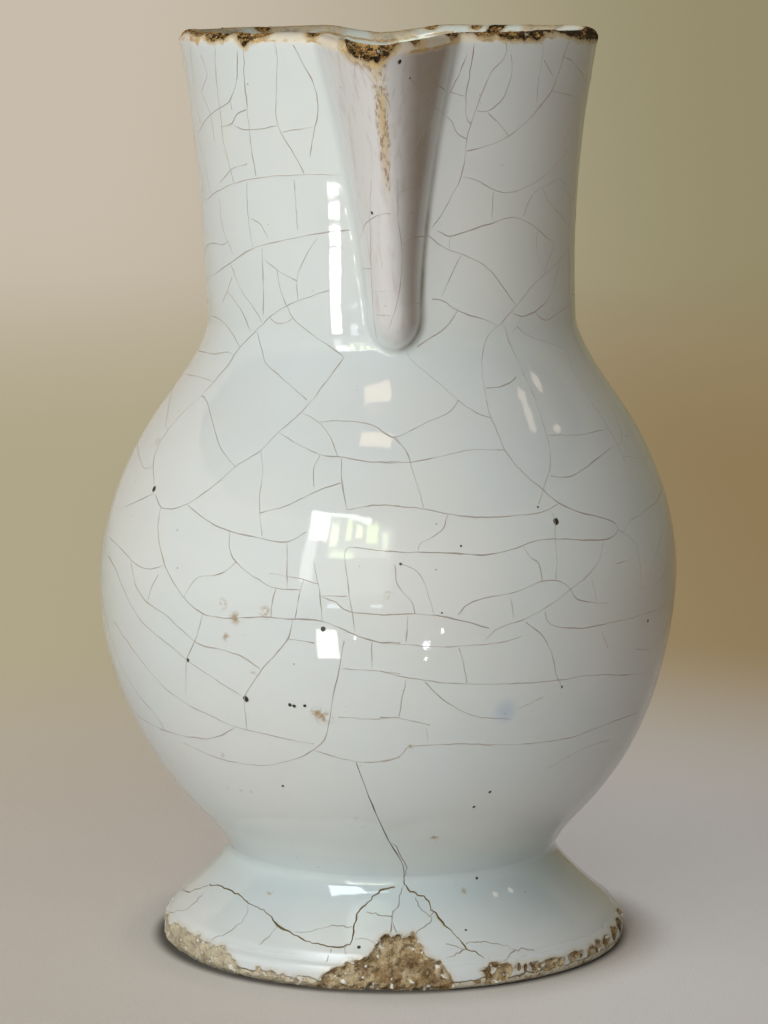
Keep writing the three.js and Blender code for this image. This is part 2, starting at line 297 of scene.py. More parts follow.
# %% [markdown]
# ## The thrown curve
# Everything thrown on the wheel has one outline, a radius for each height. The foot spreads,
# the belly is a little fuller above its widest place than below, and the neck flares to the
# rim. Where two of these curves meet the potter's finger has filled the corner, which the
# soft maximum of the two radii does with one formula.

# %% Radius at a height
def soft_maximum(a, b, softness):
    """The larger of two values, with the corner between them filled."""
    near = np.maximum(softness - np.abs(a - b), 0) / softness
    return np.maximum(a, b) + near ** 2 * softness / 4


def belly_radius(z):
    away = z - BELLY_HEIGHT
    below = (np.minimum(away, 0) / BELLY_BELOW) ** 2
    above = (np.maximum(away, 0) / BELLY_ABOVE) ** BELLY_FULLNESS
    return BELLY_RADIUS * np.sqrt(np.maximum(1 - below - above, 0))


def neck_radius(z):
    return NECK_RADIUS + RIM_FLARE * (np.maximum(z - NECK_WAIST, 0) / (HEIGHT - NECK_WAIST)) ** RIM_CURVE


def foot_radius(z):
    down = np.maximum(FOOT_TOP - z, 0) / (FOOT_TOP - FOOT_EDGE)
    return WAIST_RADIUS + FOOT_FLARE * down ** FOOT_CURVE


def body_radius(z):
    z = np.asarray(z, float)
    upper = soft_maximum(belly_radius(z), neck_radius(z), 11)
    lower = soft_maximum(belly_radius(z), foot_radius(z), 8)
    return np.where(z > BELLY_HEIGHT, upper, lower)


def wall_points(heights, depth):
    """Points of the wall, so deep under the outside and measured square to it."""
    z = np.asarray(heights, float)
    slope = body_radius(z + 0.5) - body_radius(z - 0.5)
    length = np.hypot(1, slope)
    return np.stack([body_radius(z) - depth / length, z + depth * slope / length], axis=-1)


def spaced(start, stop, step):
    """Even values from start to stop, about a step apart."""
    return np.linspace(start, stop, max(2, round(abs(stop - start) / step) + 1))


print("radius at the waist, belly and rim:", body_radius([24, 92, 225]).round(1))

# %% [markdown]
# ## What the wheel and the kiln left
# No thrown pot is a perfect solid of revolution. This one leans and swells a little as it
# goes up, its rim is not quite round, the fingers left faint rings, and the glaze lies in
# soft waves. One smooth deformation holds all of that, and because every piece and every
# crack goes through the same one, they keep lying on each other.

# %% Unevenness
LEAN_HEIGHTS = (0, 15, 30, 47, 63, 77, 92, 113, 135, 148, 158, 172, 200, 225)
LEAN_RIGHT = (0.9, 0.7, 0.4, 0.2, -0.4, -0.75, -0.5, 0.1, 0.6, 0.7, 0.2, -0.3, -0.4, -0.2)
RIM_TILT = 0.0067
fine_heights = np.arange(-40.0, 266.0)
blur = np.hanning(15) / np.hanning(15).sum()
lean_table = np.convolve(np.interp(fine_heights, LEAN_HEIGHTS, LEAN_RIGHT), blur, mode="same")


def uneven(points):
    """Moves points, in mm from a true axis, to where the real jug has them."""
    points = np.array(points, float)
    x, y, z = points.T
    turn = np.arctan2(x, -y)
    up = np.clip((z - NECK_SEAM) / (HEIGHT - NECK_SEAM), 0, 1)
    swell = 0.10 * np.sin(2 * turn + 0.8 + 0.011 * z) + 0.08 * np.sin(3 * turn - 1.1 + 0.03 * z)
    swell += 0.05 * np.sin(7 * turn + 0.09 * z) * np.sin(0.11 * z + 1.3 * turn)
    swell += 0.014 * np.sin(1.15 * z + turn) * (0.4 + 0.6 * np.sin(0.05 * z + 2 * turn) ** 2)
    radius = np.maximum(np.hypot(x, y), 1e-6)
    grown = 1 + swell / np.maximum(radius, 30)
    lean = np.interp(z, fine_heights, lean_table)
    lowered = RIM_TILT * (x - 52) * up ** 2 - 0.15 * up ** 4 * (1 + np.sin(5 * turn + 1))
    return np.stack([x * grown + lean, y * grown + AXIS_Y, z + lowered], axis=-1)


rightmost = (BELLY_RADIUS, 0, BELLY_HEIGHT)
print("the belly's rightmost point goes to", uneven([rightmost])[0].round(2))


# %% [markdown]
# ## The foot
# The foot is a hollow ring that spreads from the waist to a rounded edge, where the glaze
# stops just short of the table. Its outline goes up the outside, across the seam and down the
# hollow underside. Two rows lie close to the seam, so that the shading of the foot and of the
# belly meet without a line.

# %% Foot
COLUMNS = 256
SEAM_ROW = 0.15
STAND_ROUND = 2
SHOULDER_WIDE, SHOULDER_RISE = 4, 2.8  # the curve above the foot's rounded edge
RING_INSIDE, RING_THROAT, RING_CURVE = 47, 33, 1.6


def arc(centre, across, up, start, stop, steps):
    turn = np.radians(np.linspace(start, stop, steps))
    return np.stack([centre[0] + across * np.cos(turn), centre[1] + up * np.sin(turn)], axis=-1)


edge_centre = (FOOT_RADIUS - STAND_ROUND, STAND_ROUND)
shoulder_centre = (FOOT_RADIUS - SHOULDER_WIDE, SHOULDER_WIDE)
foot_outside = np.vstack([
    arc(edge_centre, STAND_ROUND, STAND_ROUND, -90, 0, 7),
    arc(shoulder_centre, SHOULDER_WIDE, SHOULDER_RISE, 0, 55, 7),
    wall_points([*spaced(8, FOOT_TOP - SEAM_ROW, 0.9), FOOT_TOP], 0),
])
under_heights = spaced(FOOT_TOP, 0, 2)
under_radii = RING_THROAT + (RING_INSIDE - RING_THROAT) * (1 - under_heights / FOOT_TOP) ** RING_CURVE
foot_under = np.stack([under_radii, under_heights], axis=-1)
foot = turned("foot_ring", np.vstack([foot_outside, foot_under]), COLUMNS, uneven)
print("foot", len(foot.data.vertices), "points")

# %% [markdown]
# ## The belly
# The belly was thrown with a floor of its own and is open at the top, where the neck is
# luted on. Its wall is as thick as a finger allows, and the same points, moved inwards, make
# the inside that shows when one looks down the neck.

# %% Belly
FLOOR_TOP = FOOT_TOP + FLOOR
CORNER = 6
UNDER_RING, FLOOR_RING = 20, 15  # a ring of points round each pole
between_seams = spaced(FOOT_TOP + SEAM_ROW, NECK_SEAM - SEAM_ROW, 1.2)
belly_outside = wall_points([FOOT_TOP, *between_seams, NECK_SEAM], 0)
belly_inside = wall_points(spaced(NECK_SEAM, FLOOR_TOP + CORNER, 2.5), WALL)
belly_inside[0] = (body_radius(NECK_SEAM) - WALL, NECK_SEAM)
corner_centre = (belly_inside[-1][0] - 2 * CORNER, belly_inside[-1][1])
floor_corner = arc(corner_centre, 2 * CORNER, corner_centre[1] - FLOOR_TOP, 0, -90, 7)[1:]
belly_outline = np.vstack([
    [[0, FOOT_TOP], [UNDER_RING, FOOT_TOP]], belly_outside, belly_inside, floor_corner,
    [[FLOOR_RING, FLOOR_TOP], [0, FLOOR_TOP]],
])
belly = turned("belly_shell", belly_outline, COLUMNS, uneven)
print("belly", len(belly.data.vertices), "points")

# %% [markdown]
# ## The neck and its beak
# The potter cut a slit in the neck, set a folded strip of clay over it and smoothed the joint
# away with a wet finger, so the neck and the beak are one skin and one mesh here. The beak is
# a height field on the neck: at each place it says how far the skin stands forward, as a
# rounded ridge that widens to the rim and ends below in a round tip. The soft maximum of that
# ridge and zero leaves the creases on both sides. The pouring channel inside is the same rule
# with smaller sizes. More columns of points are spent at the front than at the back.

# %% The beak as a height field
SPOUT_TIP, SPOUT_ROUND = 151, 8
CHANNEL_TOP, CHANNEL_ROUND = 176, 14
HALF_BELOW, HALF_ADDED = 6.3, 10.4  # half the beak's width at its tip, and what the rim adds
REACH_BELOW, REACH_ADDED = 6.5, 12.5  # how far it would stand out, in the same way
CHANNEL_NARROWER, CHANNEL_FURTHER = 4, 1
CREASE = 3.4
RIM_ROUND = WALL / 2
LIP_DIP = 2.4


def beak(x, z, channel=False):
    """How far the skin stands forward of the neck, and how full the ridge is there."""
    shoulder = SPOUT_TIP + SPOUT_ROUND
    up = np.clip((z - shoulder) / (HEIGHT - shoulder), 0, 1)
    half = HALF_BELOW + HALF_ADDED * up ** 1.5
    reach = REACH_BELOW + REACH_ADDED * up ** 1.4
    if channel:
        half, reach = half - CHANNEL_NARROWER, reach + CHANNEL_FURTHER
        below = np.maximum(CHANNEL_TOP - z, 0) / CHANNEL_ROUND
    else:
        below = np.maximum(shoulder - z, 0) / SPOUT_ROUND
    middle = 0.9 - 1.7 * up
    ridge = middle - 2.2 * up ** 5
    side = np.where(x < ridge, ridge - (middle - half), middle + half - ridge)
    full = 1 - np.hypot((x - ridge) / side, below) ** (2.3 - 0.7 * up)
    return soft_maximum(reach * full, 0 * full, CREASE), np.clip(full, 0, 1) * up ** 5


def neck_skin(turn, z, inside=False):
    """The neck's outer or inner skin at angles from the front, from (-Y) towards +X."""
    radius = body_radius(z) - (WALL if inside else 0)
    x, y = radius * np.sin(turn), -radius * np.cos(turn)
    out, dip = beak(x, z, channel=inside)
    return np.stack([x, np.where(y < 0, y - out, y), z - LIP_DIP * dip], axis=-1)


# %% Neck and beak
NECK_COLUMNS = 336
CROWDING = 0.72
DETAIL_TOP = 160  # up to here, past the beak's tip, the rows lie close together
even_turn = np.arange(NECK_COLUMNS) * 2 * np.pi / NECK_COLUMNS
neck_turn = even_turn - CROWDING * np.sin(even_turn)
lip_height = HEIGHT - RIM_ROUND
close_rows = spaced(NECK_SEAM + SEAM_ROW, DETAIL_TOP, 0.35)
outside_heights = [NECK_SEAM, *close_rows, *spaced(DETAIL_TOP + 1.2, lip_height, 1.25)]
inside_heights = spaced(lip_height, NECK_SEAM, 1.6)
outer_rows = [neck_skin(neck_turn, np.full(NECK_COLUMNS, z)) for z in outside_heights]
inner_rows = [neck_skin(neck_turn, np.full(NECK_COLUMNS, z), inside=True) for z in inside_heights]
lip_middle = (outer_rows[-1] + inner_rows[0]) / 2
lip_across = outer_rows[-1] - lip_middle
lip_rows = [
    lip_middle + lip_across * math.cos(t) + np.array([0, 0, RIM_ROUND * math.sin(t)])
    for t in np.radians(np.linspace(0, 180, 13))[1:-1]
]
neck_rows = [*outer_rows, *lip_rows, *inner_rows]
neck = mesh_object(
    "neck_and_beak",
    uneven(np.vstack(neck_rows)),
    row_faces(len(neck_rows), NECK_COLUMNS, closed=True),
)
print("neck", len(neck.data.vertices), "points in", len(neck_rows), "rows")

# %% [markdown]
# ## The handle
# The handle is a strap pulled from a lump of clay, pressed on under the rim, bent over and
# pressed on again at the shoulder. Its centre line is a smooth curve through the few points
# that the CAD source also uses. Rings of points ride along it, flat with rounded edges and a
# shallow thumb groove outside, and near the wall each ring spreads in a quarter circle, which
# is the fillet that a finger leaves.

# %% A smooth line through points
def smooth_line(points, step):
    """A line that runs smoothly through all the points, resampled at about even steps."""
    points = np.asarray(points, float)
    padded = np.vstack([2 * points[0] - points[1], points, 2 * points[-1] - points[-2]])
    pieces = []
    for p0, p1, p2, p3 in zip(padded, padded[1:], padded[2:], padded[3:]):
        t1 = np.linalg.norm(p1 - p0) ** 0.5
        t2 = t1 + np.linalg.norm(p2 - p1) ** 0.5
        t3 = t2 + np.linalg.norm(p3 - p2) ** 0.5
        t = np.linspace(t1, t2, 24, endpoint=False)[:, None]
        a1 = (t1 - t) / t1 * p0 + t / t1 * p1
        a2 = (t2 - t) / (t2 - t1) * p1 + (t - t1) / (t2 - t1) * p2
        a3 = (t3 - t) / (t3 - t2) * p2 + (t - t2) / (t3 - t2) * p3
        b1 = (t2 - t) / t2 * a1 + t / t2 * a2
        b2 = (t3 - t) / (t3 - t1) * a2 + (t - t1) / (t3 - t1) * a3
        pieces.append((t2 - t) / (t2 - t1) * b1 + (t - t1) / (t2 - t1) * b2)
    line = np.vstack([*pieces, points[-1:]])
    along = np.concatenate([[0], np.cumsum(np.linalg.norm(np.diff(line, axis=0), axis=1))])
    at = spaced(0, along[-1], step)
    return np.stack([np.interp(at, along, axis) for axis in line.T], axis=-1)


# %% Rings along the handle
HANDLE_ROUTE = [(42, 199), (55, 205), (71, 203), (82, 190), (85, 168), (81, 146), (73, 130), (60, 119)]
HANDLE_WIDTH, HANDLE_TAPER, HANDLE_THICKNESS = 27, 5, 10
FLATTER_OUTSIDE = 0.78
ROOT_SPREAD, ROOT_SHARE = 1.5, 0.2  # how much wider a root is, and how far along that goes
GROOVE, GROOVE_WIDE = 1.5, 0.42
FILLET = 3.6
STRAP_POINTS = 56
route = smooth_line(HANDLE_ROUTE, 0.7)
forward = np.gradient(route, axis=0)
forward /= np.linalg.norm(forward, axis=1)[:, None]
along = np.linspace(0, 1, len(route))
strap_turn = np.arange(STRAP_POINTS) * 2 * np.pi / STRAP_POINTS
strap_rings = []
for (y, z), (run, rise), share in zip(route, forward, along):
    root = ROOT_SPREAD * max(1 - min(share, 1 - share) / ROOT_SHARE, 0) ** 2
    half_width = (HANDLE_WIDTH - HANDLE_TAPER * math.sin(math.pi * share)) / 2 + root
    half_thick = HANDLE_THICKNESS / 2 + 0.4 * root
    wide, thick = np.cos(strap_turn), np.sin(strap_turn)
    across = np.sign(wide) * np.abs(wide) ** 0.75 * half_width
    groove = GROOVE * np.exp(-((across / (GROOVE_WIDE * half_width)) ** 2))
    groove *= np.clip(-2 * thick, 0, 1)
    half_thick = np.where(thick < 0, FLATTER_OUTSIDE, 1) * half_thick
    outward = half_thick * thick + groove + 0.25 * math.sin(9 * share + 1) * np.cos(strap_turn)
    ring = np.stack([across, y + outward * rise, z - outward * run], axis=-1)
    gap = np.hypot(ring[:, 0], ring[:, 1]) - body_radius(np.clip(ring[:, 2], 20, HEIGHT))
    near = np.clip(FILLET - gap, 0, FILLET)
    spread = FILLET - np.sqrt(FILLET ** 2 - near ** 2)
    away = ring - np.array([0, y, z])
    away /= np.linalg.norm(away, axis=1)[:, None]
    strap_rings.append(ring + away * spread[:, None])

# %% Closing the strap
strap_points = np.vstack([*strap_rings, [[0, *route[0]]], [[0, *route[-1]]]])
strap_faces = row_faces(len(strap_rings), STRAP_POINTS, closed=False)
first_pole, last_pole = len(strap_points) - 2, len(strap_points) - 1
last_ring = (len(strap_rings) - 1) * STRAP_POINTS
for c in range(STRAP_POINTS):
    across = (c + 1) % STRAP_POINTS
    strap_faces.append((first_pole, across, c))
    strap_faces.append((last_pole, last_ring + c, last_ring + across))
handle = mesh_object("strap_handle", uneven(strap_points), strap_faces)


def volume(piece):
    """The volume of a closed piece in millilitres, which is negative if it is inside out."""
    shape = bmesh.new()
    shape.from_mesh(piece.data)
    measured = shape.calc_volume(signed=True) * 1e6
    shape.free()
    return round(measured, 2)


if volume(handle) < 0:
    handle.data.flip_normals()
print("volumes in ml:", {piece.name: volume(piece) for piece in (foot, belly, neck, handle)})

# %% [markdown]
# ## Chips
# Under the glaze the clay is soft, so the rim has lost its edge where the jug was knocked and
# emptied, and the foot has lost flakes where it was set down. A worn edge isn't a row of
# separate bites but a ragged line, deep in places and shallow in others. So a tool like a
# strip of torn cloth is laid round the edge: its inner face is the fracture, as deep under
# the glaze as the wear asks and rough with noise, and its outer face lies clear of the jug.
# One boolean takes away what the strip covers. It leaves a crisp edge in the glaze, and the
# floor of the cut keeps the strip's own material, so that it can be clay.

# %% Cutting tools
GLAZED, BARE = 0, 1
tin_glaze = bpy.data.materials.new("tin_glaze")
bare_clay = bpy.data.materials.new("bare_clay")
chance = np.random.default_rng(1740)


def glaze_and_clay(piece, index=GLAZED):
    """Gives a piece both materials, and all its faces one of them."""
    piece.data.materials.append(tin_glaze)
    piece.data.materials.append(bare_clay)
    piece.data.polygons.foreach_set("material_index", [index] * len(piece.data.polygons))
    return piece


def roughness_at(points, size, seed):
    """Fractal noise about 0 at points in mm, with lumps of a size."""
    move = Vector((0, seed * 3.1, 0))
    return np.array([noise.fractal(Vector(p) / size + move, 0.8, 2.1, 4) for p in points])


def grain_at(points, size, seed):
    """0 in the middle of each grain of a size and 1 between the grains."""
    move = Vector((seed * 1.7, 0, 0))
    return np.array([min(1, noise.voronoi(Vector(p) / size + move)[0][0]) for p in points])


# %% A strip that cuts
def strip_tool(name, inner, outer):
    """A closed strip round the jug, from rows of points inside and outside the cut, in mm."""
    rings = np.concatenate([inner, outer[:, ::-1]], axis=1)
    count, around = rings.shape[:2]
    faces = [
        (a * around + i, a * around + (i + 1) % around, b * around + (i + 1) % around, b * around + i)
        for a, b in zip(range(count), [*range(1, count), 0])
        for i in range(around)
    ]
    tool = mesh_object(name, rings.reshape(-1, 3), faces)
    if volume(tool) < 0:
        tool.data.flip_normals()
    return glaze_and_clay(tool, BARE)


# %% A stone that cuts
STONE_ROUGH = 0.34  # of its radius


def stone(place, turn, radii, seed):
    """A rough stone about a place, in mm; its radii run along, into and up the edge."""
    mesh = bpy.data.meshes.new("stone")
    shape = bmesh.new()
    bmesh.ops.create_icosphere(shape, subdivisions=4, radius=1)
    size = Vector(radii)
    grain = max(0.7, 0.4 * min(radii))
    for point in shape.verts:
        at = Vector(a * b for a, b in zip(point.co.normalized(), size))
        coarse = noise.noise(at / (2.5 * grain) + Vector((seed * 7.3, 0, 0)))
        fine = noise.fractal(at / grain + Vector((0, seed * 3.1, 0)), 0.8, 2.1, 4)
        point.co = at * (1 + STONE_ROUGH * (coarse + 0.45 * fine))
    spin = Matrix.Rotation(turn, 4, "Z")
    shape.transform(Matrix.Translation(Vector(place) * MM) @ spin @ Matrix.Scale(MM, 4))
    shape.to_mesh(mesh)
    shape.free()
    return glaze_and_clay(new_object("stone", mesh), BARE)


# %% Cutting with all the tools at once
def apply_modifiers(piece):
    """Turns what the modifiers make into the piece's plain mesh."""
    graph = bpy.context.evaluated_depsgraph_get()
    made = bpy.data.meshes.new_from_object(piece.evaluated_get(graph))
    piece.modifiers.clear()
    piece.data = made
    return piece


def chip(piece, tools):
    """Cuts tools out of a piece, all in one boolean."""
    glaze_and_clay(piece)
    heap = bpy.data.collections.new("tools")
    bpy.context.scene.collection.children.link(heap)
    for made in tools:
        heap.objects.link(made)
    cut = piece.modifiers.new("chips", "BOOLEAN")
    cut.operation = "DIFFERENCE"
    cut.operand_type = "COLLECTION"
    cut.solver = "MANIFOLD"
    cut.collection = heap
    apply_modifiers(piece)
    for made in tools:
        bpy.data.objects.remove(made)
    bpy.data.collections.remove(heap)


# %% [markdown]
# The wear of the rim is read off the photograph as a profile: at a few angles from the front,
# how far down the lip it reaches. Between them it runs straight. It is next to nothing on the
# left of the beak, a notch three millimetres deep 42 degrees to the left, four millimetres of
# gritty clay at the tip of the beak, and an unbroken dark line round the right. The back is
# hidden, and its profile comes from a seeded random generator. In section the fracture is a
# bevel: it starts below the lip outside and ends on top of it.

# %% Wear along the rim and the beak
RIM_WEAR = [
    # angle from the front, and how far down in mm
    (-92, 2.0), (-86, 2.2), (-80, 0.9), (-76, 0.2), (-69, 0.5), (-63, 0.9), (-60, 0.3),
    (-58, 1.5), (-50, 1.9), (-48.5, 0.2), (-45.5, 0.4), (-42, 3.0), (-38.5, 1.5), (-34, 0.7),
    (-33, 0.0), (-23, 0.0), (-22, 0.8), (-19.5, 0.9), (-18.5, 0.0), (-12, 0.0), (-10.5, 2.4),
    (-8, 4.0), (-3, 4.3), (-0.5, 2.8), (1, 0.9), (2.5, 0.0), (5.6, 0.0), (6.4, 1.1), (7.6, 0.8),
    (8.2, 0.0), (15.2, 0.0), (16.4, 1.4), (18, 1.2), (19, 0.1), (23.2, 0.2), (24, 0.9),
    (28, 1.1), (29.5, 0.4), (31, 1.5), (36, 1.9), (41, 2.1), (44.5, 1.8), (46, 0.6), (52, 0.4),
    (55, 1.2), (62, 2.1), (70, 2.5), (82, 2.6), (88, 2.0), (93, 0.6),
]
INNER_CHIPS = [
    # angle from the front, half length, into the wall and down, in mm
    (144.5, 2.7, 2.0, 1.9), (166.5, 1.7, 1.2, 0.8), (152, 1.4, 0.9, 0.7), (-137, 2.4, 1.3, 0.9),
]
CLEAR = 1.6  # mm that a tool's outer face lies off the jug
HIDDEN_WEAR = 22  # places at the back
RIM_SAMPLES = 1441
back_angles = [100, *np.sort(chance.uniform(108, 262, HIDDEN_WEAR)), 266]
back_depths = [0.1, *np.clip(chance.uniform(-1.4, 2.3, HIDDEN_WEAR), 0, 3), 0.4]
wear_angles, wear_depths = (list(column) for column in zip(*RIM_WEAR, *zip(back_angles, back_depths)))
rim_turns = np.radians(np.linspace(-180, 180, RIM_SAMPLES))
rim_edge = uneven(neck_skin(rim_turns, np.full(RIM_SAMPLES, HEIGHT)))
rim_top = rim_edge[:, 2]


def wear_at(degrees):
    """How far down the lip is worn at an angle from the front, in mm."""
    return float(np.interp((degrees + 92) % 360 - 92, wear_angles, wear_depths))


def depth_inside(inside, deep, rough):
    """How deep a fracture lies, from how far inside its outline it is; all in mm."""
    wall = np.clip(inside / 0.7, 0, 1)
    floor = deep * wall * np.clip(0.55 + 0.14 * inside, 0, 1) + rough * wall
    return np.where(inside > 0, floor, np.maximum(inside, -1) * 0.6)


# %% The strip that cuts the rim
STRIP_STEP, STRIP_REACH = 0.3, 6.5  # mm between its points, and how far down it goes
rim_run = np.concatenate([[0], np.cumsum(np.linalg.norm(np.diff(rim_edge, axis=0), axis=1))])
strip_turns = np.interp(spaced(0, rim_run[-1], STRIP_STEP)[:-1], rim_run, rim_turns)
strip_heights = spaced(HEIGHT - STRIP_REACH, lip_height, STRIP_STEP)
arc_turns = np.radians(np.linspace(0, 120, 14))[1:]
lip_outer = neck_skin(strip_turns, np.full(len(strip_turns), lip_height))
lip_inner = neck_skin(strip_turns, np.full(len(strip_turns), lip_height), inside=True)
across = (lip_outer - lip_inner) / 2
facing = across / np.linalg.norm(across, axis=1)[:, None]
upward = np.array([0, 0, 1.0])
skin_rows = [neck_skin(strip_turns, np.full(len(strip_turns), z)) for z in strip_heights]
skin_rows += [
    lip_outer - across + across * math.cos(t) + upward * RIM_ROUND * math.sin(t) for t in arc_turns
]
skin_normals = [facing] * len(strip_heights)
skin_normals += [facing * math.cos(t) + upward * math.sin(t) for t in arc_turns]
below_top = [HEIGHT - z for z in strip_heights] + [RIM_ROUND * (1 - math.sin(t)) for t in arc_turns]
past_top = [0.0] * len(strip_heights) + [max(t - math.pi / 2, 0) * RIM_ROUND for t in arc_turns]
skin_rows, skin_normals = np.stack(skin_rows, axis=1), np.stack(skin_normals, axis=1)
flat = skin_rows.reshape(-1, 3)
torn = roughness_at(flat, 1.6, 1).reshape(skin_rows.shape[:2])
lumpy = roughness_at(flat, 0.7, 3).reshape(torn.shape)
grains = grain_at(flat, 1.1, 2).reshape(torn.shape)
down = np.array([wear_at(math.degrees(t)) for t in strip_turns])[:, None]
inside = down * (1 + 0.25 * torn) - np.array(below_top) - 1.3 * np.array(past_top) + 0.35 * lumpy
inside = np.where(down > 0.12, inside, -1)
deep = np.clip(0.25 + 0.5 * down, 0, 1.7)
rough = (0.5 * torn + 0.3 * lumpy - 0.5 * (0.5 - grains)) * np.clip(down, 0.4, 1)
fracture = depth_inside(inside, deep, rough)[..., None]
inner_face = uneven((skin_rows - skin_normals * fracture).reshape(-1, 3)).reshape(skin_rows.shape)
outer_face = uneven((skin_rows + skin_normals * CLEAR).reshape(-1, 3)).reshape(skin_rows.shape)
rim_tools = [strip_tool("rim_tool", inner_face, outer_face)]
inner_radius = float(body_radius(HEIGHT)) - WALL + 0.5
for seed, (degrees, half, into, deep) in enumerate(INNER_CHIPS):
    turn = math.radians(degrees)
    place = uneven([(inner_radius * math.sin(turn), -inner_radius * math.cos(turn), HEIGHT - 0.7)])[0]
    rim_tools.append(stone(place, turn, (half, into, deep), 5000 + seed))
chip(neck, rim_tools)
print("chipped neck:", len(neck.data.polygons), "faces,", volume(neck), "ml")

# %% [markdown]
# The foot is worn in the same way, with an upper and a lower line and a depth. Its largest
# flake is at the front, twelve millimetres high, where the old crack comes down. Right of it
# is a round chip like a bitten biscuit, and further round a row of small dark holes. On the
# left a long shallow band is worn down to the clay. The holes are cut with small rough
# stones.

# %% Wear along the foot
FOOT_WEAR = [
    # angle from the front, lower and upper edge and depth in mm
    (-94, 1.6, 5.4, 0.5), (-84, 1.2, 5.6, 0.6), (-76, 0.6, 5.0, 0.7), (-72, -1, 5.6, 0.7),
    (-66, -1, 6.6, 0.8), (-60, -1, 6.0, 0.8), (-54, -1, 5.8, 0.7), (-48, -1, 6.0, 0.6),
    (-44, -1, 5.0, 0.6), (-41, 0.4, 3.6, 0.5), (-39, 1.2, 2.0, 0.4), (-36, -1, 1.4, 0.4),
    (-31, -1, 2.6, 0.4), (-27, -1, 1.5, 0.3), (-23, -1, 2.3, 0.4), (-20, -1, 1.4, 0.4),
    (-17.6, -1, 2.4, 0.7), (-15, -1, 4.8, 1.2), (-10, -1, 7.2, 1.7), (-6, -1, 8.6, 2.1),
    (-4.2, -1, 10.4, 2.2), (-3, -1, 11.6, 2.2), (3.4, -1, 12.0, 2.1), (5.6, -1, 12.2, 1.9),
    (7, -1, 10.0, 1.7), (9, -1, 7.5, 1.5), (11.4, -1, 7.0, 1.3), (12.6, -1, 4.2, 1.0),
    (14.6, 0.4, 1.4, 0.5), (15.4, 1, 1, 0.0),
]
FOOT_HOLES = [
    # angle from the front, height, half length, half height and depth in mm
    (25.4, 3.9, 3.9, 3.3, 1.3), (31.2, 4.2, 0.5, 1.0, 0.8), (33.0, 3.6, 0.6, 1.1, 0.8),
    (34.6, 3.9, 0.5, 0.9, 0.8), (36.2, 3.2, 1.4, 1.3, 1.1), (40.0, 3.1, 3.4, 1.5, 1.2),
    (44.0, 3.3, 1.2, 1.2, 1.0), (48.6, 3.6, 1.9, 1.4, 1.1), (51.8, 3.4, 0.7, 0.9, 0.8),
    (56.0, 3.6, 1.6, 1.5, 1.1), (59.6, 3.8, 1.5, 1.6, 1.1), (64.6, 3.9, 2.4, 1.6, 1.2),
    (71.0, 4.4, 2.4, 1.9, 1.3), (78.0, 4.9, 3.2, 2.1, 1.3), (86.0, 5.4, 3.2, 1.9, 1.2),
    (-30.5, 2.4, 1.5, 0.8, 0.8), (-27.0, 2.2, 0.9, 0.7, 0.7), (-34.0, 3.0, 0.8, 0.6, 0.6),
    (-22.5, 2.3, 1.4, 0.7, 0.7),
]
HIDDEN_HOLES = 26
print(len(FOOT_WEAR), "places of wear and", len(FOOT_HOLES), "holes along the foot")

# %% The strip that cuts the foot
STRIP_HEIGHTS = spaced(-1.2, 14, 0.33)


def foot_skin(z):
    """The radius of the foot's outside at heights, in mm."""
    return np.interp(z, foot_outside[:, 1], foot_outside[:, 0])


worn_turns = spaced(-96, 24, 0.28)
foot_turns = np.radians([*worn_turns, *spaced(27, 261, 3)])
angles, lows, highs, depths = (list(column) for column in zip(*FOOT_WEAR))
low, high, deep = (
    np.interp(np.degrees(foot_turns), angles, column, right=0)[:, None] for column in (lows, highs, depths)
)
turn, z = np.meshgrid(foot_turns, STRIP_HEIGHTS, indexing="ij")
skin_radius = foot_skin(np.clip(z, 0.2, 99))


def foot_places(radius):
    """The points of a strip round the foot, at so large a radius everywhere."""
    places = np.stack([radius * np.sin(turn), -radius * np.cos(turn), z], axis=-1)
    return uneven(places.reshape(-1, 3)).reshape(places.shape)


flat = foot_places(skin_radius).reshape(-1, 3)
torn = roughness_at(flat, 3.2, 4).reshape(z.shape)
lumpy = roughness_at(flat, 1.1, 5).reshape(z.shape)
grains = grain_at(flat, 1.5, 6).reshape(z.shape)
inside = np.minimum(z - low, high - z) + 0.9 * torn + 0.3 * lumpy
inside = np.where(deep > 0.05, inside, -1)
rough = (0.45 * torn + 0.25 * lumpy - 0.35 * (0.5 - grains)) * np.clip(deep, 0, 1)
fracture = depth_inside(inside, deep, rough)
inner_face, outer_face = foot_places(skin_radius - fracture), foot_places(skin_radius + CLEAR)
foot_tools = [strip_tool("foot_tool", inner_face, outer_face)]

# %% The holes along the foot
holes = list(FOOT_HOLES)
for _ in range(HIDDEN_HOLES):
    lowest = chance.uniform(0.4, 6)
    half, tall, into = (chance.uniform(*span) for span in ((1, 5.5), (0.8, 1.9), (0.8, 1.7)))
    holes.append((chance.uniform(94, 262), lowest, half, tall, into))
for seed, (degrees, hole_z, half, tall, into) in enumerate(holes):
    hole_turn = math.radians(degrees)
    radius = float(foot_skin(hole_z)) + 0.15 * into
    place = uneven([(radius * math.sin(hole_turn), -radius * math.cos(hole_turn), hole_z)])[0]
    foot_tools.append(stone(place, hole_turn, (half, into, tall), 8000 + seed))
chip(foot, foot_tools)
for piece in (belly, handle):
    glaze_and_clay(piece)
SHARP_EDGE = math.radians(36)
for piece in (foot, belly, neck, handle):
    piece.data.polygons.foreach_set("use_smooth", [True] * len(piece.data.polygons))
    piece.data.set_sharp_from_angle(angle=SHARP_EDGE)
print("chipped foot:", len(foot.data.polygons), "faces,", volume(foot), "ml")

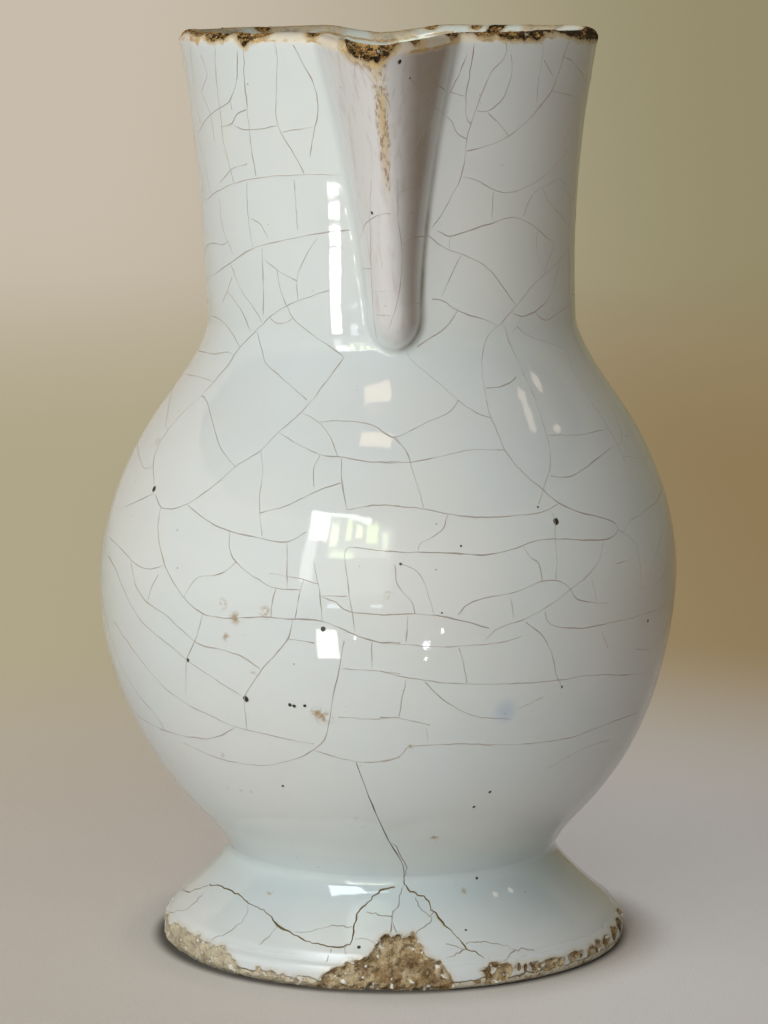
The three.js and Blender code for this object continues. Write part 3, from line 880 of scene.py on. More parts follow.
# %% [markdown]
# ## Shader maths as plain expressions
# A material is arithmetic on where a point is. The class below wraps the output of a shader
# node and gives it Python's operators, so that `1 - mask` or `height < 3` adds the Math nodes.
# Every other node comes from one method, which sets the node's options first and its sockets
# second. Colours are only ever mixed, never added as numbers.

# %% Wires
class Wire:
    """The output of a node, or a sum of such outputs."""

    def __init__(self, material, socket):
        self.material, self.socket = material, socket

    def math(self, operation, *values):
        return self.material.node("Math", {"operation": operation}, dict(enumerate(values)))

    def __add__(self, other):
        return self.math("ADD", self, other)

    def __sub__(self, other):
        return self.math("SUBTRACT", self, other)

    def __rsub__(self, other):
        return self.math("SUBTRACT", other, self)

    def __mul__(self, other):
        return self.math("MULTIPLY", self, other)

    def __truediv__(self, other):
        return self.math("DIVIDE", self, other)

    def __pow__(self, other):
        return self.math("POWER", self, other)

    def __abs__(self):
        return self.math("ABSOLUTE", self)

    __radd__, __rmul__ = __add__, __mul__

    def largest(self, other):
        return self.math("MAXIMUM", self, other)

    def smallest(self, other):
        return self.math("MINIMUM", self, other)

    def ease(self, start, stop):
        """Rises smoothly from 0 at start to 1 at stop; start may be the larger."""
        settings = {"interpolation_type": "SMOOTHSTEP"}
        return self.material.node("MapRange", settings, {0: self, 1: start, 2: stop})


# %% A material in millimetres
class Finish:
    """A material whose nodes read the piece's own coordinates, in millimetres."""

    def __init__(self, material):
        material.use_nodes = True
        self.tree = material.node_tree
        self.tree.nodes.clear()
        here = self.node("TexCoord", output="Object")
        self.place = self.node("VectorMath", {"operation": "SCALE"}, {0: here, "Scale": 1 / MM})
        self.x, self.y, self.z = (
            self.node("SeparateXYZ", sockets={0: self.place}, output=axis) for axis in "XYZ"
        )

    def node(self, kind, settings=None, sockets=None, output=0):
        made = self.tree.nodes.new("ShaderNode" + kind)
        for name, value in (settings or {}).items():
            setattr(made, name, value)
        for name, value in (sockets or {}).items():
            if isinstance(value, Wire):
                self.tree.links.new(value.socket, made.inputs[name])
            else:
                made.inputs[name].default_value = value
        return Wire(self, made.outputs[output]) if made.outputs else None

    def noise(self, size, detail=2.0, rough=0.5, shift=0.0, at=None):
        """Cloudy noise from 0 to 1 with features about a size in mm."""
        sockets = {"Vector": at or self.place, "W": shift, "Scale": 1 / size}
        sockets |= {"Detail": detail, "Roughness": rough}
        return self.node("TexNoise", {"noise_dimensions": "4D"}, sockets)

    def cells(self, size, output="Distance", at=None):
        """Cells about a size in mm; the distance is in cells."""
        return self.node("TexVoronoi", None, {"Vector": at or self.place, "Scale": 1 / size}, output)

    def value(self, name):
        """A value that the mesh stores at its points."""
        return self.node("Attribute", {"attribute_name": name}, output="Fac")

    def away(self, point):
        """The distance in mm from a point."""
        return self.node("VectorMath", {"operation": "DISTANCE"}, {0: self.place, 1: tuple(point)}, "Value")

    def blend(self, factor, first, second):
        """The first colour where the factor is 0 and the second where it is 1."""
        colours = [v if isinstance(v, Wire) else (*paint(*v), 1) for v in (first, second)]
        return self.node("Mix", {"data_type": "RGBA"}, {0: factor, 6: colours[0], 7: colours[1]}, 2)

    def bump(self, height):
        """A normal from a height in mm."""
        return self.node("Bump", None, {"Strength": 1.0, "Distance": MM, "Height": height})

    def surface(self, base, roughness, normal=None, glow=None, **constants):
        """The finished surface; a glow is a share of it and the colour it has by itself."""
        sockets = {"Base Color": base, "Roughness": roughness}
        if normal is not None:
            sockets["Normal"] = normal
        sockets |= {name.replace("_", " "): value for name, value in constants.items()}
        shader = self.node("BsdfPrincipled", None, sockets)
        if glow is not None:
            light = self.node("Emission", None, {"Color": glow[1], "Strength": 1.0})
            shader = self.node("MixShader", None, {0: glow[0], 1: shader, 2: light})
        self.node("OutputMaterial", None, {"Surface": shader})


# %% [markdown]
# ## Linen
# The stage is a plain pale cloth. Its colour drifts a little and a fine weave shows only
# close up, so that it stays behind the jug in every sense. A painted contact shadow darkens it
# close round the foot, where little light gets in. The cove is far from the lamps and would go
# dark, so for the camera and in reflections it glows with painted light and shade, in tones
# from pale near the jug through olive and brown to pale again up the wall. Close to the foot
# it doesn't glow, so that the jug keeps its shadow.

# %% Linen
linen = bpy.data.materials.new("linen")
cloth = Finish(linen)
drift = cloth.noise(260, 3)
threads = abs(cloth.noise(0.9, 1) - 0.5)
tone = cloth.blend(drift.ease(0.3, 0.7), (206, 203, 198), (214, 211, 206))
tone = cloth.blend(threads.ease(0.0, 0.2) * 0.25, tone, (198, 194, 188))
tone = cloth.blend(cloth.x.ease(-20, 260), tone, (176, 160, 140))
from_axis = cloth.away((0, AXIS_Y, 0))
# painted contact shadow: the cloth gets darker close round the foot
painted_contact_shadow = from_axis.ease(FOOT_RADIUS + 3, FOOT_RADIUS - 1)
tone = cloth.blend(painted_contact_shadow * 0.85, tone, (40, 36, 32))
seen = 0.0
for ray in ("Is Camera Ray", "Is Glossy Ray", "Is Transmission Ray"):
    seen = cloth.node("LightPath", None, {}, ray).largest(seen)
# painted light and shade: the tones the cove glows with for the camera and in reflections
near_tone = cloth.blend(cloth.x.ease(-90, 90), (188, 175, 162), (200, 198, 197))
middle_tone = cloth.blend(cloth.x.ease(-150, 170), (178, 168, 138), (144, 123, 86))
wall_tone = cloth.blend(cloth.x.ease(-260, 330), (208, 196, 178), (152, 144, 110))
painted_glow_tone = cloth.blend(from_axis.ease(80, 420), near_tone, middle_tone)
painted_glow_tone = cloth.blend(from_axis.ease(800, 2200), painted_glow_tone, wall_tone)
off_foot = from_axis.ease(FOOT_RADIUS + 1, FOOT_RADIUS + 16)
share = seen * off_foot * (0.45 + 0.45 * from_axis.ease(90, 420))
cloth.surface(tone, 0.95, cloth.bump(threads * 0.25), glow=(share, painted_glow_tone))
cove.data.materials.append(linen)
print("linen:", len(cloth.tree.nodes), "nodes")

# %% [markdown]
# ## What the meshes tell the glaze
# Some things about the glaze depend on the shape: it is thin and pinkish where it ran off the
# beak and the lip, it pooled blue-green in the creases, and dirt has crept in round every
# chip. Shade is painted in as well: on the right flank of the beak, in the creases beside it
# and in the waist above the foot. Numbers for these are worked out once for each point of a
# mesh and stored on it, and the material reads them.

# %% Measuring a mesh
def points_of(piece):
    """A piece's points in mm, and the same seen from the true axis."""
    points = np.empty(len(piece.data.vertices) * 3)
    piece.data.vertices.foreach_get("co", points)
    points = points.reshape(-1, 3) / MM
    return points, points - np.array([0, AXIS_Y, 0])


def store(piece, name, values):
    attribute = piece.data.attributes.new(name, "FLOAT", "POINT")
    attribute.data.foreach_set("value", np.asarray(values, np.float32))


def chip_distance(piece):
    """How far each point is from the nearest bare clay of its piece, in mm, at most 9."""
    points, _ = points_of(piece)
    bare = sorted({v for f in piece.data.polygons if f.material_index == BARE for v in f.vertices})
    tree = KDTree(len(bare))
    for number in bare:
        tree.insert(points[number], number)
    tree.balance()
    return [min(tree.find(point)[2] or 0, 9) if bare else 9 for point in points]


# %% Values stored on the meshes
for piece in (foot, belly, neck, handle):
    real, centred = points_of(piece)
    x, y, z = centred.T
    radius, turn = np.hypot(x, y), np.arctan2(x, -y)
    outside = radius > body_radius(np.clip(z, 0, HEIGHT)) - 2
    front = outside & (y < 0) & (z > 150)
    stands, _ = beak(x, np.clip(z, 150, HEIGHT))
    gap = radius - body_radius(np.clip(z, 0, HEIGHT))
    on_beak = np.where(front, np.clip(gap / 3 - 0.35, 0, 1), 0)
    crease = np.where(front & (gap < 2.2), np.clip(1 - np.abs(stands - 0.9) / 0.85, 0, 1), 0)
    # pooled glaze on the foot, which reaches up into the waist above it as painted shade
    on_foot = np.clip((31 - z) / 7, 0, 1) * np.clip((z - 10) / 9, 0, 1)
    shoulder = 0.25 * np.exp(-(((z - 151) / 7) ** 2))
    roots = np.clip(1 - np.abs(gap - 1.5) / 2.5, 0, 1) if piece is handle else 0
    edge = np.interp(turn, rim_turns, rim_top) - real[:, 2] if piece is neck else 99 + 0 * z
    normals = np.empty(3 * len(z))
    piece.data.vertices.foreach_get("normal", normals)
    facing = (normals.reshape(-1, 3)[:, :2] * np.stack([x, y], axis=-1)).sum(1) / radius
    store(piece, "thin", on_beak)
    # painted shade on the right flank of the beak
    store(piece, "beak_flank_shade", on_beak * np.clip((x - 2.2) / 4, 0, 1))
    pooled_and_waist_shade = np.maximum.reduce([0.4 * crease, on_foot * outside, shoulder * outside, roots + 0 * z])
    store(piece, "pool_and_waist_shade", np.clip(pooled_and_waist_shade, 0, 1))
    # painted shade in the creases beside the beak, mostly on the right and lower down
    store(piece, "crease", crease * np.clip(0.55 + x / 12, 0.15, 1) * np.clip((200 - z) / 20, 0.3, 1))
    store(piece, "edge", np.clip(edge, 0, 99))
    store(piece, "wear", [wear_at(degrees) for degrees in np.degrees(turn)] if piece is neck else 0 * z)
    store(piece, "inner", np.where((facing < -0.3) & (piece is neck), 1.0, 0.0))
    store(piece, "chip", chip_distance(piece))
print("values stored:", [a.name for a in neck.data.attributes if a.data_type == "FLOAT"])

# %% [markdown]
# ## Marks seen on the photograph
# A few pits, smears and stains are where anyone would look for them: the burst bubbles on the
# belly, the rust at the left end of the rim, the blue thumb smudge. Each is a pixel of the
# photograph, sent along the camera's ray to the glaze it lies on.

# %% From a pixel to the glaze
glazed_pieces = (neck, belly, foot, handle)
graph = bpy.context.evaluated_depsgraph_get()
skins = {piece: BVHTree.FromObject(piece, graph) for piece in glazed_pieces}


def on_glaze(u, v):
    """Where a pixel's ray first meets the jug: (distance, place, normal, piece, face)."""
    ray = ray_through(u, v)
    found = []
    for piece, skin in skins.items():
        place, normal, face, distance = skin.ray_cast(camera.location, ray)
        if place is not None:
            found.append((distance, place / MM, normal, piece, face))
    return min(found, key=lambda hit: hit[0]) if found else None


# %% Pits, smears and rust
PITS = {
    # pixel: radius in mm
    (154, 489): 0.75, (556, 521): 0.8, (323, 629): 0.55, (188, 660): 0.5, (246, 699): 0.75,
    (372, 213): 0.35, (400, 62): 0.5, (417, 40): 0.6, (290, 705): 0.5, (294, 706): 0.4,
    (305, 706): 0.4, (490, 792): 0.45, (474, 807): 0.35, (648, 621): 0.4, (410, 78): 0.25,
    (538, 507): 0.25, (461, 546): 0.25, (401, 564): 0.35, (442, 613): 0.25, (562, 687): 0.3,
    (283, 786): 0.35, (466, 930): 0.35, (477, 878): 0.35, (359, 947): 0.5, (183, 889): 0.6,
}
SMEARS = {
    # pixel: radius in mm
    (317, 713): 1.6, (323, 717): 1.9, (329, 719): 1.2, (158, 441): 1.2, (235, 618): 1.6,
    (226, 637): 1.1, (253, 675): 1.0, (222, 604): 1.4, (265, 612): 1.5, (388, 595): 1.0,
    (409, 747): 1.1, (222, 755): 0.8,
    (226, 787): 0.7, (240, 789): 0.8, (252, 792): 0.7, (356, 819): 0.6, (434, 838): 1.2, (464, 891): 0.9,
    (270, 892): 1.0,
}
RUST = {
    # pixel: radius in mm
    (193, 35): 1.7, (197, 41): 1.1, (186, 32): 1.0,
}
BLUE_SMUDGE = (505, 712)


def on_the_jug(marks):
    """The same sizes by place on the glaze instead of by pixel."""
    return {on_glaze(*pixel)[1][:]: size for pixel, size in marks.items()}


pit_places, smear_places, rust_places = on_the_jug(PITS), on_the_jug(SMEARS), on_the_jug(RUST)
smudge_place = on_glaze(*BLUE_SMUDGE)[1][:]
print(len(pit_places), "pits and", len(smear_places), "smears found on the glaze")

# %% [markdown]
# ## The tin glaze
# Tin glaze is a milky glass, cool and slightly blue where it is thick and warm where the clay
# shows through it. It is shiny but never flat: the surface has an orange-peel ripple and slow
# waves, which is why reflections in it wobble. Over the whole jug lie tiny dark specks, the
# mouths of bubbles that burst in the kiln. Low on the foot is a bare band, where the glaze was
# wiped off so that the jug would not stick to the kiln shelf. The rest is age: brown round the
# chips, a run of oil under the lip, and a lower foot that has lost its shine.

# %% Tin glaze
glaze = Finish(tin_glaze)
thin, beak_flank_shade, pool_and_waist_shade, near_chip, edge, wear, inner, crease = (
    glaze.value(name) for name in ("thin", "beak_flank_shade", "pool_and_waist_shade", "chip", "edge", "wear", "inner", "crease")
)
slow = glaze.noise(46, 2)
cloudy = glaze.noise(11, 3, shift=3)
fine = glaze.noise(1.6, 3, shift=5)
grit = glaze.noise(0.7, 2, 0.6, shift=9)

milk = glaze.blend(slow.ease(0.36, 0.64), (205, 211, 212), (209, 212, 209))
milk = glaze.blend(cloudy.ease(0.3, 0.75) * 0.5, milk, (204, 208, 208))
# blue-green pooled glaze, and painted shade in the waist above the foot
milk = glaze.blend(pool_and_waist_shade * (0.5 + 0.45 * cloudy), milk, (180, 195, 198))
milk = glaze.blend((thin * (0.55 + 0.6 * cloudy)).smallest(1), milk, (203, 200, 200))
# painted shade on the right flank of the beak
milk = glaze.blend(beak_flank_shade * (0.4 + 0.5 * cloudy), milk, (136, 118, 102))
milk = glaze.blend(inner * 0.8, milk, (200, 212, 206))
# painted shade, brown like dirt, in the creases beside the beak, mostly on the right
milk = glaze.blend(crease * (0.35 + 0.6 * cloudy.ease(0.3, 0.7)), milk, (114, 96, 66))
upright = glaze.node("VectorMath", {"operation": "MULTIPLY"}, {0: glaze.place, 1: (1, 1, 0.12)})
brushed = glaze.noise(1.7, 3, 0.6, shift=41, at=upright)
milk = glaze.blend(thin * brushed.ease(0.5, 0.68) * 0.3, milk, (168, 156, 148))


def dots(size, share, largest, shift):
    """Small round dots, one in a share of the cells that fill the glaze, at most so big."""
    at = glaze.node("VectorMath", {"operation": "ADD"}, {0: glaze.place, 1: (shift, shift, shift)})
    lot = glaze.node("SeparateColor", None, {0: glaze.cells(size, output="Color", at=at)}, "Red")
    radius = ((lot - (1 - share)) / share).largest(0) * (largest / size)
    distance = glaze.cells(size, at=at)
    return (distance - radius).ease(0.05 / size, -0.05 / size)


# %% Specks, pits and smears
specks = dots(5.5, 0.55, 0.30, 0) * 0.75
specks = specks.largest(dots(2.6, 0.35, 0.16, 31) * 0.5)
milk = glaze.blend(specks * (0.4 + 0.5 * cloudy), milk, (98, 86, 68))

wobble = (fine - 0.5) * 1.3
pits, smears = 0.0, 0.0
for place, size in pit_places.items():
    pits = (glaze.away(place) + wobble * size).ease(1.1 * size, 0.75 * size).largest(pits)
for place, size in smear_places.items():
    smears = ((glaze.away(place) + wobble * 2.4).ease(1.5 * size, 0.2 * size)).largest(smears)
smudge = (glaze.away(smudge_place) + (cloudy - 0.5) * 4).ease(4.2, 0.5)
milk = glaze.blend(smudge * 0.5, milk, (158, 182, 204))
milk = glaze.blend(smears * fine.ease(0.42, 0.62), milk, (156, 128, 84))

# %% The run of oil and the stained lip
run_middle = 0.085 * (217 - glaze.z) - 2.9 + (glaze.noise(9, 1, shift=12) - 0.5) * 2.4
run_wide = (glaze.z - 150).largest(0) / 75
run_wide = 0.9 + 1.9 * run_wide ** 3
run = (abs(glaze.x - run_middle) + wobble * 0.5).ease(run_wide * 1.3, 0)
run = run * glaze.z.ease(174, 208) * glaze.y.ease(-58, -62) * (0.35 + 0.65 * cloudy.ease(0.3, 0.6))
run_grains = run.ease(0, 0.4) * glaze.noise(0.75, 4, 0.7, shift=33, at=upright).ease(0.48, 0.6)
milk = glaze.blend(run * 0.85, milk, (182, 157, 108))
milk = glaze.blend(run_grains * 0.7, milk, (120, 90, 48))

lip_band = (edge + wobble * 1.2).ease(3.0, 1.6) * (1 - inner)
milk = glaze.blend(lip_band * 0.7, milk, (219, 206, 180))
back_band = (edge + wobble * 2).ease(6.5, 0.8) * inner
milk = glaze.blend(back_band * 0.4, milk, (226, 226, 214))
lip_line = abs(edge + wobble - 1.9).ease(0.45, 0.1) * glaze.noise(6, 3, 0.6, shift=21).ease(0.47, 0.56)
milk = glaze.blend(lip_line * 0.8, milk, (168, 128, 62))
stain_reach = 0.7 + 1.0 * wear + (cloudy - 0.5) * 2.6
stain = (edge + wobble * 1.4 - stain_reach).ease(0.7, -0.3) * wear.ease(0.1, 0.7)
stain_grain = glaze.noise(1.8, 3, 0.6, shift=35).ease(0.45, 0.62)
stain_tone = glaze.blend(stain_grain, (190, 158, 102), (126, 92, 42))
milk = glaze.blend(stain * 0.6, milk, stain_tone)
rust_tone = glaze.blend(fine.ease(0.42, 0.6), (196, 158, 100), (158, 112, 56))
for place, size in rust_places.items():
    rust = (glaze.away(place) + wobble * 1.6).ease(1.1 * size, 0.7 * size)
    milk = glaze.blend(rust * 0.85, milk, rust_tone)

# %% Brown round the chips, and the bare band
ring = near_chip + wobble * 1.2
high_up = glaze.z.ease(190, 205)
tan_ring = ring.ease(1.5, 0.4) * (0.24 + 0.24 * high_up)
brown_ring = ring.ease(0.5 + 0.2 * high_up, 0.1) * (0.8 + 0.1 * high_up)
milk = glaze.blend(tan_ring, milk, (193, 168, 116))
milk = glaze.blend(brown_ring * fine.ease(0.35, 0.6), milk, (104, 76, 38))
lip_dirt = stain.largest(lip_line)

ragged = glaze.z + (glaze.noise(4.5, 3, shift=15) - 0.5) * 3.6
bare_band = ragged.ease(2.5, 2.2)
band = glaze.blend(glaze.noise(2.4, 3, 0.6, shift=17).ease(0.5, 0.66), (199, 190, 170), (136, 112, 74))
band = glaze.blend(grit.ease(0.58, 0.68) * 0.8, band, (84, 64, 36))
milk = glaze.blend(bare_band, milk, band)
band_edge = abs(ragged - 2.4).ease(0.35, 0.08) * cloudy.ease(0.4, 0.6)
milk = glaze.blend(band_edge * 0.6, milk, (124, 96, 54))
milk = glaze.blend(pits, milk, (30, 24, 12))

# %% Ripple and shine
ripple = (fine - 0.5) * 0.007 + (glaze.noise(7, 1, shift=8) - 0.5) * 0.03 + (slow - 0.5) * 0.14
relief = ripple - specks * 0.03 - pits * 0.35 - bare_band * (0.25 + 0.3 * grit)
dull = bare_band
for mark in (brown_ring * 0.9, lip_dirt * 0.7, pits * 0.5, run * 0.5):
    dull = dull.largest(mark)
dull = dull.largest((glaze.z + (cloudy - 0.5) * 7).ease(14, 5.5) * 0.4)
glaze.surface(milk, 0.03 + 0.03 * cloudy + specks * 0.2 + dull * 0.6, glaze.bump(relief), IOR=1.62)
print("tin glaze:", len(glaze.tree.nodes), "nodes")

# %% [markdown]
# ## Bare clay
# Where the glaze is gone the clay is coarse and buff, with pale lime grains and flecks of
# glaze that still hold on. Two centuries of oil have turned the rim's chips golden brown, and
# nearly black in their hollows, while the foot's are only dusty, so the dirt depends on the
# height as well as on noise.

# %% Bare clay
clay = Finish(bare_clay)
lumps = clay.noise(2.6, 4, 0.6)
grains = clay.cells(0.55)
soot = clay.noise(1.3, 4, 0.6, shift=4)
patches = clay.noise(5, 3, 0.55, shift=14)
high_up = clay.z.ease(180, 200)
body = clay.blend(lumps.ease(0.38, 0.62), (184, 167, 134), (136, 110, 70))
body = clay.blend(patches.ease(0.46, 0.62) * 0.8, body, (112, 84, 48))
low_left = (1 - high_up) * clay.x.ease(-16, -24)
body = clay.blend(low_left * (0.25 + 0.5 * lumps), body, (206, 200, 180))
body = clay.blend(high_up * 0.9, body, clay.blend(lumps.ease(0.4, 0.6), (172, 132, 66), (112, 76, 30)))
body = clay.blend(grains.ease(0.3, 0.12) * (0.35 + 0.5 * high_up), body, (226, 212, 178))
flecks = clay.noise(1.7, 2, 0.4, shift=24).ease(0.6, 0.64)
body = clay.blend(flecks * (1 - 0.6 * high_up), body, (222, 219, 208))
deeper = clay.value("edge").ease(0.8, 4.2)
dirt = (soot + high_up * (0.04 + 0.1 * deeper) + high_up * clay.x.ease(20, 34) * 0.08).ease(0.53, 0.6)
body = clay.blend(dirt * (0.6 + 0.4 * high_up - 0.25 * low_left), body, (48, 34, 16))
gritty = lumps * 0.4 - grains * 0.2 + soot * 0.35 + flecks * 0.2
clay.surface(body, 0.85 - 0.1 * lumps, clay.bump(gritty))
print("bare clay:", len(clay.tree.nodes), "nodes")

# %% [markdown]
# ## The crackle
# The glaze shrank more than the clay as the jug cooled, and it has gone on cracking ever
# since, so a network of fine dark lines covers it, except low on the belly. Such cracks are
# long, gently curved and end square on older ones. The ones at the front were followed on the
# photograph and are kept as pixels, a line of them for each crack; a smooth curve through
# them is sent through the camera onto the glaze.

# %% Cracks followed on the left of the neck
NECK_LEFT_CRACKS = """
243 46, 245 85, 249 127, 252 152, 256 176
205 201, 221 189, 247 180, 294 175, 342 175
274 41, 277 57, 276 92, 277 122, 283 137, 294 154, 304 173
293 45, 302 62, 314 85, 318 110, 314 132, 310 157
232 124, 242 129, 251 130, 277 126
283 132, 313 127
237 51, 237 77, 230 100, 217 110, 207 119, 197 134
230 100, 232 110
201 55, 207 75, 202 92, 210 113, 215 142
215 47, 216 75, 221 119, 223 139, 234 182
221 127, 231 124, 237 114, 246 110
220 182, 232 169, 247 164
247 182, 248 216, 253 249
294 179, 296 207, 298 230
250 218, 260 224, 268 238
207 280, 230 263, 252 249, 294 238, 329 232, 350 230
219 195, 222 224, 233 255
317 238, 304 259, 297 280, 298 301
262 249, 263 279, 263 316
265 260, 279 271, 297 281
231 264, 242 291, 255 310, 262 322
232 277, 227 291, 222 304
227 291, 242 311, 250 331
329 290, 309 297, 287 306, 270 317, 255 332, 241 346, 227 366, 214 382, 197 400
277 269, 281 291, 286 305
287 306, 293 318, 309 332, 329 346, 344 357
270 318, 277 323, 287 322, 293 318
257 331, 262 351, 266 363, 282 378, 307 400
344 357, 329 378, 313 400
206 314, 222 321, 232 333, 240 347
184 374, 200 377, 214 382
"""

# %% On the right of the neck
NECK_RIGHT_CRACKS = """
475 42, 471 67, 466 95, 467 119, 471 124
506 40, 506 55, 492 71, 482 92, 475 112, 467 139, 465 157, 461 177, 451 197, 441 216, 432 228
511 55, 512 70, 508 87, 500 102, 487 111, 477 111
488 113, 500 124, 509 136
467 151, 487 146, 509 136, 529 119, 552 90, 559 72, 565 52, 569 42
543 40, 542 62, 538 82, 537 105
544 60, 553 76
552 91, 569 95, 578 98
446 116, 452 122, 458 134, 467 139
467 55, 460 72, 450 92
450 92, 464 96
463 177, 477 180, 492 189, 507 193, 524 188, 539 180, 552 168, 563 157, 572 142
493 192, 492 221
437 231, 450 236, 470 230, 492 223, 507 218, 519 218, 532 225, 544 235, 554 244, 549 259, 544 271
559 179, 547 185, 534 193, 528 204, 523 216
560 179, 567 185
427 235, 447 249, 461 254, 477 261, 490 270, 502 286, 516 305
450 236, 449 248
461 255, 451 276, 442 296
432 299, 441 300, 457 310, 472 316, 487 320, 497 326
457 311, 447 326, 432 337, 417 347
567 249, 559 262, 547 272, 529 290, 516 306, 502 322, 488 336, 483 351, 482 371, 486 400
537 231, 537 251, 544 271
513 313, 522 316, 534 312, 547 301, 555 281, 559 266
521 317, 517 327, 511 333
517 327, 529 336, 549 343, 567 351, 572 366, 589 398
503 323, 509 341, 518 361, 527 381, 536 400
486 388, 500 387, 509 383, 516 377
406 351, 410 358, 425 372, 442 386, 458 400
"""

# %% On the beak
BEAK_CRACKS = """
371 180, 370 222, 371 264, 374 320, 377 339
398 180, 398 222, 402 250, 399 292, 394 313, 388 330
374 292, 386 291, 397 291
376 315, 391 316
402 304, 419 304
401 245, 416 237, 427 236
357 62, 371 80, 388 100, 391 112
409 77, 420 90, 432 104, 443 114
432 120, 422 134, 410 160
400 192, 416 187, 425 194
355 60, 355 85
360 238, 367 222, 383 214, 391 214
363 269, 371 269
425 64, 430 78, 437 85, 445 90
"""

# %% On the left of the belly
BELLY_LEFT_CRACKS = """
312 400, 302 412, 279 432, 261 450, 239 464, 217 483, 203 494, 187 504, 170 509, 161 507, 155 494
302 413, 317 421, 328 433, 338 457
279 433, 298 444, 321 455, 340 457, 373 462, 400 461
320 422, 340 421, 371 425, 392 437, 400 444
320 455, 314 468, 314 487
341 458, 342 483, 347 510
261 451, 263 471, 260 494, 260 513, 262 536
260 513, 286 506, 317 491, 341 483
187 504, 203 518, 229 531, 255 537, 287 542, 306 532
287 542, 287 565, 287 589
229 532, 230 551, 236 562, 253 576, 276 588, 301 590
236 562, 220 574, 197 578, 184 597
276 588, 272 603, 271 617
161 507, 158 523, 160 546, 166 568, 175 585, 187 601, 203 614, 232 618, 260 617, 293 619, \
321 621, 340 628, 373 641, 400 643
109 537, 123 551, 137 565, 151 569, 163 565
158 575, 151 589, 148 603
108 556, 116 570, 125 593, 135 612, 147 627, 168 644, 187 660, 213 678, 242 696
131 560, 135 584, 148 603, 168 617, 184 632, 199 644, 222 650, 241 656, 260 669
203 614, 196 638, 187 660, 186 693
114 622, 137 655, 163 686, 184 702, 213 717, 236 727, 260 733, 291 740, 314 744
293 619, 289 636, 279 651, 262 669, 253 683, 245 696, 247 730
288 639, 314 643
344 641, 339 669, 333 697, 329 723, 324 740, 313 750, 293 760, 265 765, 232 762, 208 754, 184 743
340 669, 368 670, 400 674
313 750, 338 758, 361 762, 385 761, 400 757
137 716, 161 729, 189 737, 213 738, 236 727
372 642, 372 669
338 717, 368 719, 400 717
304 579, 298 601, 295 619
400 552, 373 550, 347 549, 348 584, 352 612, 355 632
314 563, 319 589, 322 621
320 596, 347 596
321 597, 335 602, 345 610, 373 614, 400 615
347 510, 368 506, 385 505, 400 506
269 573, 295 578, 319 584
161 440, 154 459, 154 485
161 440, 177 419, 196 400
155 493, 125 507
"""

# %% On the right of the belly
BELLY_RIGHT_CRACKS = """
486 400, 491 418, 498 434, 505 450, 517 466, 531 480, 543 490, 559 503, 576 511, 599 517, \
616 524, 618 530, 612 537, 602 540, 583 540, 556 539, 536 541, 522 546, 503 552, 481 555, \
451 553, 394 552
458 400, 451 411, 427 422, 394 437, 380 431
458 400, 474 412, 491 418
394 437, 406 451, 412 468, 418 487, 424 509
380 463, 411 462, 434 458, 470 450, 505 450
535 400, 543 424, 549 447, 550 466, 545 484, 539 504
548 435, 576 435, 607 429
551 476, 569 477, 585 468, 599 457, 614 446
380 505, 404 507, 424 509, 448 514, 474 517, 498 517, 522 515, 545 511, 559 503
448 515, 443 529, 431 538, 420 544, 418 550
551 511, 555 522, 555 539, 557 560, 556 579
523 546, 532 559, 538 562, 542 581
458 615, 467 605, 481 599, 512 593, 531 586, 543 581, 559 581, 570 589, 576 598, 588 602, 608 603
603 542, 599 560, 588 575, 570 590, 550 605, 524 619, 510 624, 496 630, 484 641
591 576, 597 601
399 563, 415 570, 424 582, 430 601, 434 614
395 565, 398 586, 411 601, 415 614
380 615, 411 614, 439 616, 463 621, 489 628
511 598, 514 619
380 643, 411 645, 441 647, 474 645, 503 642, 522 636
408 616, 406 642
459 648, 463 662, 467 683
380 671, 399 676, 422 680, 451 683, 486 684, 522 683, 559 680, 592 675, 628 675, 651 673
526 622, 543 636, 552 655, 556 674, 562 688
406 680, 399 716
425 682, 441 698, 460 710, 479 717, 512 719
380 717, 404 719, 430 725
426 728, 428 742
408 747, 430 745, 463 744, 498 745, 545 742, 573 737, 599 727, 621 719, 637 713
380 761, 394 759, 402 754, 408 747
545 612, 548 622, 559 627, 581 628, 604 624, 625 619
602 631, 608 649
618 530, 625 534, 636 544, 640 565, 642 589
616 564, 632 559
590 400, 604 421, 616 442, 625 461
545 770, 564 759, 585 748, 611 740
518 709, 543 697
"""

# %% [markdown]
# One crack is older and worse than the rest: it goes through the wall, from the belly down to
# the large chip of the foot, and branches on the way. Dirt has filled it, so these lines are
# wider and darker, and oil has stained two of them ochre.

